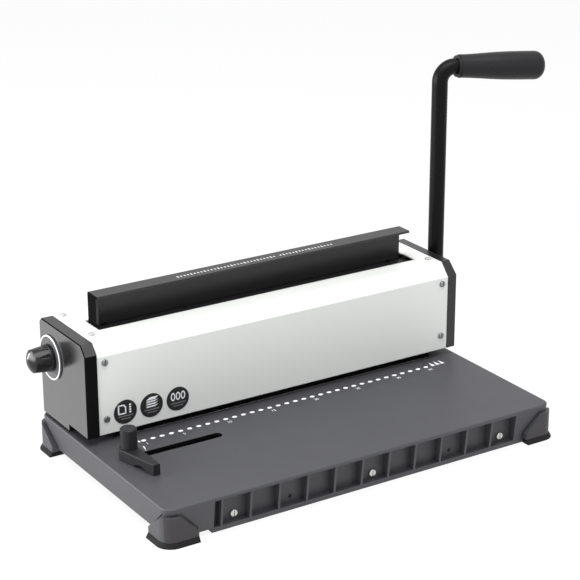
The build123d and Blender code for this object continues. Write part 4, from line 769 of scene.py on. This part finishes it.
# %% [markdown]
# ## Ticks on the closing bar
#
# The top flange of the dark bar carries a line of small pale marks. They could be in one mesh with the
# other prints, but they have to come down with the bar when the lever is pulled, so they ride on it.

# %% A row of ticks
closer_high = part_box("closer_bar")[1]
ticks = Print(Vector((0, 0, closer_high[2])), (1, 0, 0), (0, 1, 0))
tick_count, tick_gap_at, tick_pitch = 48, 30, 3.2
first_tick_x = middle_x / MM - 74.8
tick_y = closer_high[1] / MM - 10.4
long_tick_step, long_half, short_half, tick_wide = 4, 1.9, 1.3, 1.4
for k in range(tick_count):
    if k != tick_gap_at:
        tick_x = first_tick_x + tick_pitch * k
        half_high = long_half if k % long_tick_step == 0 else short_half
        ticks.area(stroke(tick_x, tick_y - half_high, tick_x, tick_y + half_high, tick_wide))
ticks.done("closer_ticks", print_pale, "closer")

# %% [markdown]
# ## The dial behind the knob
#
# The knob sets how far the bar closes. Its dial plate has a raised white rim, and dark ticks around
# three quarters of a turn. A white line on the knob points at them. It could be painted on, but the
# end of the knob is a dome, so the line is laid over it in short steps. It turns with the knob.

# %% The rim of the dial
dial_low, dial_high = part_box("dial_plate")
dial_centre = Vector((dial_low[0], (dial_low[1] + dial_high[1]) / 2, (dial_low[2] + dial_high[2]) / 2))
dial_radius = (dial_high[1] - dial_low[1]) / 2 / MM
rim_profile = [(0.0, 0.0), (0.0, 0.35), (0.2, 0.55), (0.6, 0.6), (1.0, 0.55), (1.2, 0.35), (1.2, 0.0)]
rim_points = 64
rim = Print(dial_centre, (0, -1, 0), (0, 0, 1))
rim.turned(dial_radius, rim_profile, rim_points, closed=True)
rim.done("dial_rim", print_white, "base")

# %% The ticks of the dial
dial_marks = Print(dial_centre, (0, -1, 0), (0, 0, 1))
mark_count, first_mark, mark_step = 13, 225, 22.5
long_inner, short_inner, mark_outer = 13.4, 14.4, 15.7
long_wide, short_wide = 0.7, 0.45
for k in range(mark_count):
    turn = math.radians(first_mark - mark_step * k)
    inner, wide = (long_inner, long_wide) if k % 2 == 0 else (short_inner, short_wide)
    dial_marks.area(stroke(inner * math.cos(turn), inner * math.sin(turn),
                           mark_outer * math.cos(turn), mark_outer * math.sin(turn), wide))
dial_marks.done("dial_ticks", print_black, "base")

# %% The line on the knob
knob_low, knob_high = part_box("adjust_knob")
knob_middle = Vector((knob_low[0], (knob_low[1] + knob_high[1]) / 2, (knob_low[2] + knob_high[2]) / 2))
dome_edge_radius, dome_height = 9.4, 3.3
dome_radius = (dome_edge_radius ** 2 + dome_height ** 2) / (2 * dome_height)
line_start, line_step, line_steps = 2.6, 0.45, 12
line_section = ((-0.5, -0.1), (0.5, -0.1), (0.5, 0.08), (-0.5, 0.08))
sections = []
for i in range(line_steps):
    out = line_start + line_step * i
    drop = dome_radius - math.sqrt(dome_radius ** 2 - out ** 2)
    sections.append([(x, out, z - drop) for x, z in line_section])
pointer = Print(knob_middle, (0, -1, 0), (0, 0, 1))
pointer.skin(sections)
pointer.done("knob_pointer", print_white, "knob")
